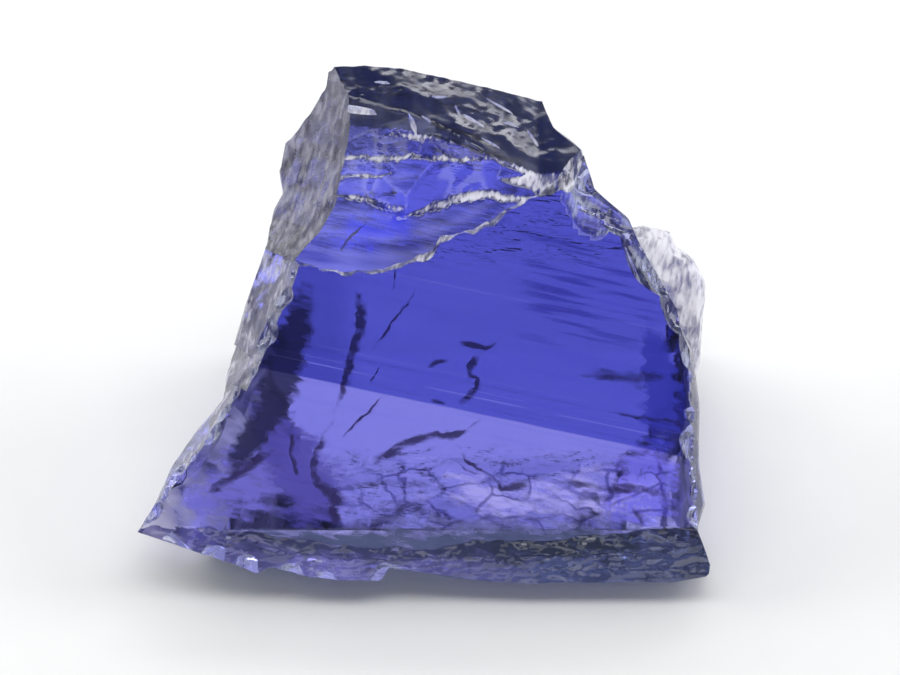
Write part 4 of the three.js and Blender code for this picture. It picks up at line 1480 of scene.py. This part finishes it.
def tanzanite():
    material, tree, shader = new_material("tanzanite")
    x, y, z, _, across = place_on_face(tree)
    zone = growth_zones_and_left_shade(tree, x, across)
    zone = with_net(tree, zone, x, y)
    zone = with_lines(tree, zone, across)
    zone = with_feathers(tree, zone, x, y)
    on_face_only = reverse(tree, soft_step(tree, math_node(tree, "ABSOLUTE", z), *FACE_SKIN))
    painted = blend_colours(tree, on_face_only, PLAIN, zone)
    # the finish tints carry painted shade on the crest, band, rim, undercut, underside and scoop, and
    # painted light upwards in the scoop
    painted = blend_colours(tree, 1.0, painted, attribute(tree, "tint", "Color"), "MULTIPLY")
    # Light is tinted once, on its way in, and leaves through plain glass.
    leaving = node(tree, "ShaderNodeNewGeometry").outputs["Backfacing"]
    tree.links.new(blend_colours(tree, leaving, painted, PLAIN), shader.inputs["Base Color"])

    patchy = math_node(tree, "ADD", product(tree, grain(tree, 1.6, 1.6, 3, 0.3, 0.7), 0.9), 0.55)
    frost = product(tree, attribute(tree, "frost", "Fac"), patchy)
    tree.links.new(frost, shader.inputs["Roughness"])
    tree.links.new(bump(tree, x, y, z), shader.inputs["Normal"])

    shader.inputs["IOR"].default_value = BENDING
    shader.inputs["Transmission Weight"].default_value = 1.0
    body = node(tree, "ShaderNodeVolumeAbsorption")
    body.inputs["Color"].default_value = BODY_COLOUR
    body.inputs["Density"].default_value = BODY_DENSITY
    tree.links.new(body.outputs["Volume"], tree.nodes["Material Output"].inputs["Volume"])
    return material


mesh.materials.append(tanzanite())
print("first material:", mesh.materials[0].name)

# %% [markdown]
# ## Crushed crystal, painted shade and painted glow
# Crushed crystal is white because its grains scatter the light; on the risers, the band and the
# left edge the same skin also stands for painted highlights and sheen. The dark sheets are
# painted shade, and the pale sheets painted light in place of cracks too small to see. Real
# grains or a cloud inside the glass would be slow to render and noisy. A thin sheet with soft
# holes does the same work: each point says how dense the sheet is there, and grains make its holes
# uneven. Only rays that have passed one surface at most see a sheet, or it would be mirrored many
# times inside the stone. The sheets and the cracks give off a little of their own colour, a
# painted glow in place of the light that they scatter in the real stone.

# %% Sheets with holes
STRAIGHT = 1.5  # rays bent or mirrored more often than this don't see the sheets
THICKEST = 0.92
THIN_ENDS = (0.0, 0.3)  # densities between which a sheet's thin edges fade out
# Each cover is its softness, its roughness, its glow, and then its grains: their strength and values.
COVERS = {
    "crushed_crystal_and_painted_sheen": (0.38, 0.4, 0.0, (0.38, 9, 2.4, 5, 0.3, 0.7), (0.4, 1.2, 1.2, 2, 0.3, 0.7)),
    "veils_painted_shade_and_glow": (0.36, 0.6, 0.6, (0.5, 1.2, 4, 3, 0.3, 0.7)),
}


def thin_cover(name, softness, roughness, glow, *grains):
    material, tree, shader = new_material(name)
    density = attribute(tree, "veil", "Fac")
    uneven = density
    for strength, *values in grains:
        centred = math_node(tree, "SUBTRACT", grain(tree, *values), 0.5)
        uneven = math_node(tree, "ADD", uneven, product(tree, centred, strength))
    covered = soft_step(tree, uneven, 0.5 - softness, 0.5 + softness)
    passed = node(tree, "ShaderNodeLightPath").outputs["Ray Depth"]
    seen = math_node(tree, "LESS_THAN", passed, STRAIGHT)
    alpha = product(tree, covered, soft_step(tree, density, *THIN_ENDS), seen, THICKEST)
    tree.links.new(alpha, shader.inputs["Alpha"])
    tint = attribute(tree, "tint", "Color")
    tree.links.new(tint, shader.inputs["Base Color"])
    # where a glow is given, it is painted light
    tree.links.new(tint, shader.inputs["Emission Color"])
    shader.inputs["Emission Strength"].default_value = glow
    shader.inputs["Roughness"].default_value = roughness
    return material


for name, values in COVERS.items():
    mesh.materials.append(thin_cover(name, *values))
print("materials:", [material.name for material in mesh.materials])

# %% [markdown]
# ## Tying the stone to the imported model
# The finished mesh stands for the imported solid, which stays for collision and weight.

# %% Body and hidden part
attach(crystal, "root")
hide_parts(CRYSTAL)

# %% [markdown]
# ## Floor
# The stone lies on a plain white sheet of paper. A large flat square is enough for it. It lies a
# hair lower than the stone's underside, because two surfaces in the same place would fight.

# %% Floor
FLOOR_GAP = 0.04 * MM
FLOOR_SIZE = 2.0
PAPER_GRAIN = 3 * MM
PAPER_COLOURS = ((0.86, 0.868, 0.87), (0.9, 0.905, 0.905))


def white_floor():
    material, tree, shader = new_material("white_floor")
    noise = node(tree, "ShaderNodeTexNoise")
    noise.inputs["Scale"].default_value = 1 / PAPER_GRAIN
    tree.links.new(node(tree, "ShaderNodeTexCoord").outputs["Object"], noise.inputs["Vector"])
    paper = blend_colours(tree, noise.outputs["Fac"], *PAPER_COLOURS)
    tree.links.new(paper, shader.inputs["Base Color"])
    shader.inputs["Roughness"].default_value = 0.9
    shader.inputs["Specular IOR Level"].default_value = 0.2
    return material


def floor():
    half = FLOOR_SIZE / 2
    corners = ((-half, -half), (half, -half), (half, half), (-half, half))
    mesh = bpy.data.meshes.new("floor")
    mesh.from_pydata([(x, y, -FLOOR_GAP) for x, y in corners], [], [(0, 1, 2, 3)])
    mesh.materials.append(white_floor())
    sheet = bpy.data.objects.new("floor", mesh)
    bpy.context.scene.collection.objects.link(sheet)
    return sheet


print("floor:", floor().dimensions.x, "m wide")

# %% [markdown]
# ## Room
# The studio is a dim white room. A tall bright panel stands behind the camera: the stone's flat
# back and flat underside throw its light back out through the broad face, which makes the face
# glow. Two places stay dark: the camera, or the face would mirror the panel, and the part of the
# room that the crest mirrors. The room could be built from walls, but a formula on the
# direction of a ray does the same and renders faster.

# %% Room
ROOM_BRIGHTNESS = 0.24
# The panel's ends and how softly they fade are angles over the front horizon, in degrees. Its
# half width, inner and outer, is an angle too.
PANEL_ENDS = (23, 62)
PANEL_FADES = (4, 15)
PANEL_HALF_WIDTH = (7, 13)
PANEL_BRIGHTNESS = 1.5
# Each dark place is its angle over the front horizon, its inner and its outer radius.
DARK_PLACES = ((40, 4, 6), (120, 12, 24))
DARKNESS = 0.1


def room():
    world = bpy.data.worlds.new("white_room")
    world.use_nodes = True
    tree = world.node_tree
    ray = node(tree, "ShaderNodeTexCoord").outputs["Generated"]
    split = node(tree, "ShaderNodeSeparateXYZ")
    tree.links.new(ray, split.inputs[0])
    right, behind, high = split.outputs
    rise = math_node(tree, "ARCTAN2", high, product(tree, behind, -1.0))
    (low, top), (fade_low, fade_top) = np.radians(PANEL_ENDS).tolist(), np.radians(PANEL_FADES).tolist()
    above_low = soft_step(tree, rise, low, low + fade_low)
    lit = product(tree, above_low, reverse(tree, soft_step(tree, rise, top - fade_top, top)))
    sides = [math.sin(math.radians(angle)) for angle in PANEL_HALF_WIDTH]
    aside = soft_step(tree, math_node(tree, "ABSOLUTE", right), *sides)
    panel = product(tree, lit, reverse(tree, aside))
    light = blend_colours(tree, panel, (ROOM_BRIGHTNESS,) * 3, (PANEL_BRIGHTNESS,) * 3)
    for angle, inner, outer in DARK_PLACES:
        rise = math.radians(angle)
        aimed = node(tree, "ShaderNodeVectorMath", operation="DOT_PRODUCT")
        tree.links.new(ray, aimed.inputs[0])
        aimed.inputs[1].default_value = (0, -math.cos(rise), math.sin(rise))
        cos_outer, cos_inner = math.cos(math.radians(outer)), math.cos(math.radians(inner))
        patch = soft_step(tree, aimed.outputs["Value"], cos_outer, cos_inner)
        light = blend_colours(tree, patch, light, (DARKNESS,) * 3)
    tree.links.new(light, tree.nodes["Background"].inputs["Color"])
    bpy.context.scene.world = world


room()
print("room:", bpy.context.scene.world.name)

# %% [markdown]
# ## Lights
# Soft boxes above, at both sides and low behind the stone light the frosted edges and the
# crust, as the windows and lamps of a bright room would. One large light all round would be
# simpler, but it would take the contrast out of the dark crest. So each box is kept away from
# the part of the room that the crest mirrors.

# %% Lights
LIGHT_DISTANCE = 0.5
# Each light is its azimuth and its elevation in degrees, its width and its height in metres, and
# the brightness that its surface shows.
LIGHTS = {
    "top_light": (180, 83, 0.7, 0.2, 2.6),
    "left_light": (-75, 28, 0.35, 0.3, 2.8),
    "right_light": (80, 28, 0.3, 0.3, 3.0),
    "low_back_light": (0, 13, 0.7, 0.18, 1.2),
    "high_back_light": (0, 42, 1.3, 0.07, 5.2),
}


def soft_box(name, azimuth, elevation, width, height, brightness):
    """A rectangular light that looks at the stone."""
    data = bpy.data.lights.new(name, "AREA")
    data.shape = "RECTANGLE"
    data.size, data.size_y = width, height
    data.energy = brightness * math.pi * width * height
    turn, rise = math.radians(azimuth), math.radians(elevation)
    way = Vector((math.sin(turn) * math.cos(rise), math.cos(turn) * math.cos(rise), math.sin(rise)))
    lamp = bpy.data.objects.new(name, data)
    lamp.location = way * LIGHT_DISTANCE
    lamp.rotation_euler = (-way).to_track_quat("-Z", "Y").to_euler()
    bpy.context.scene.collection.objects.link(lamp)


for name, values in LIGHTS.items():
    soft_box(name, *values)
bpy.context.scene.view_settings.view_transform = "Standard"
print("lights:", len(LIGHTS))
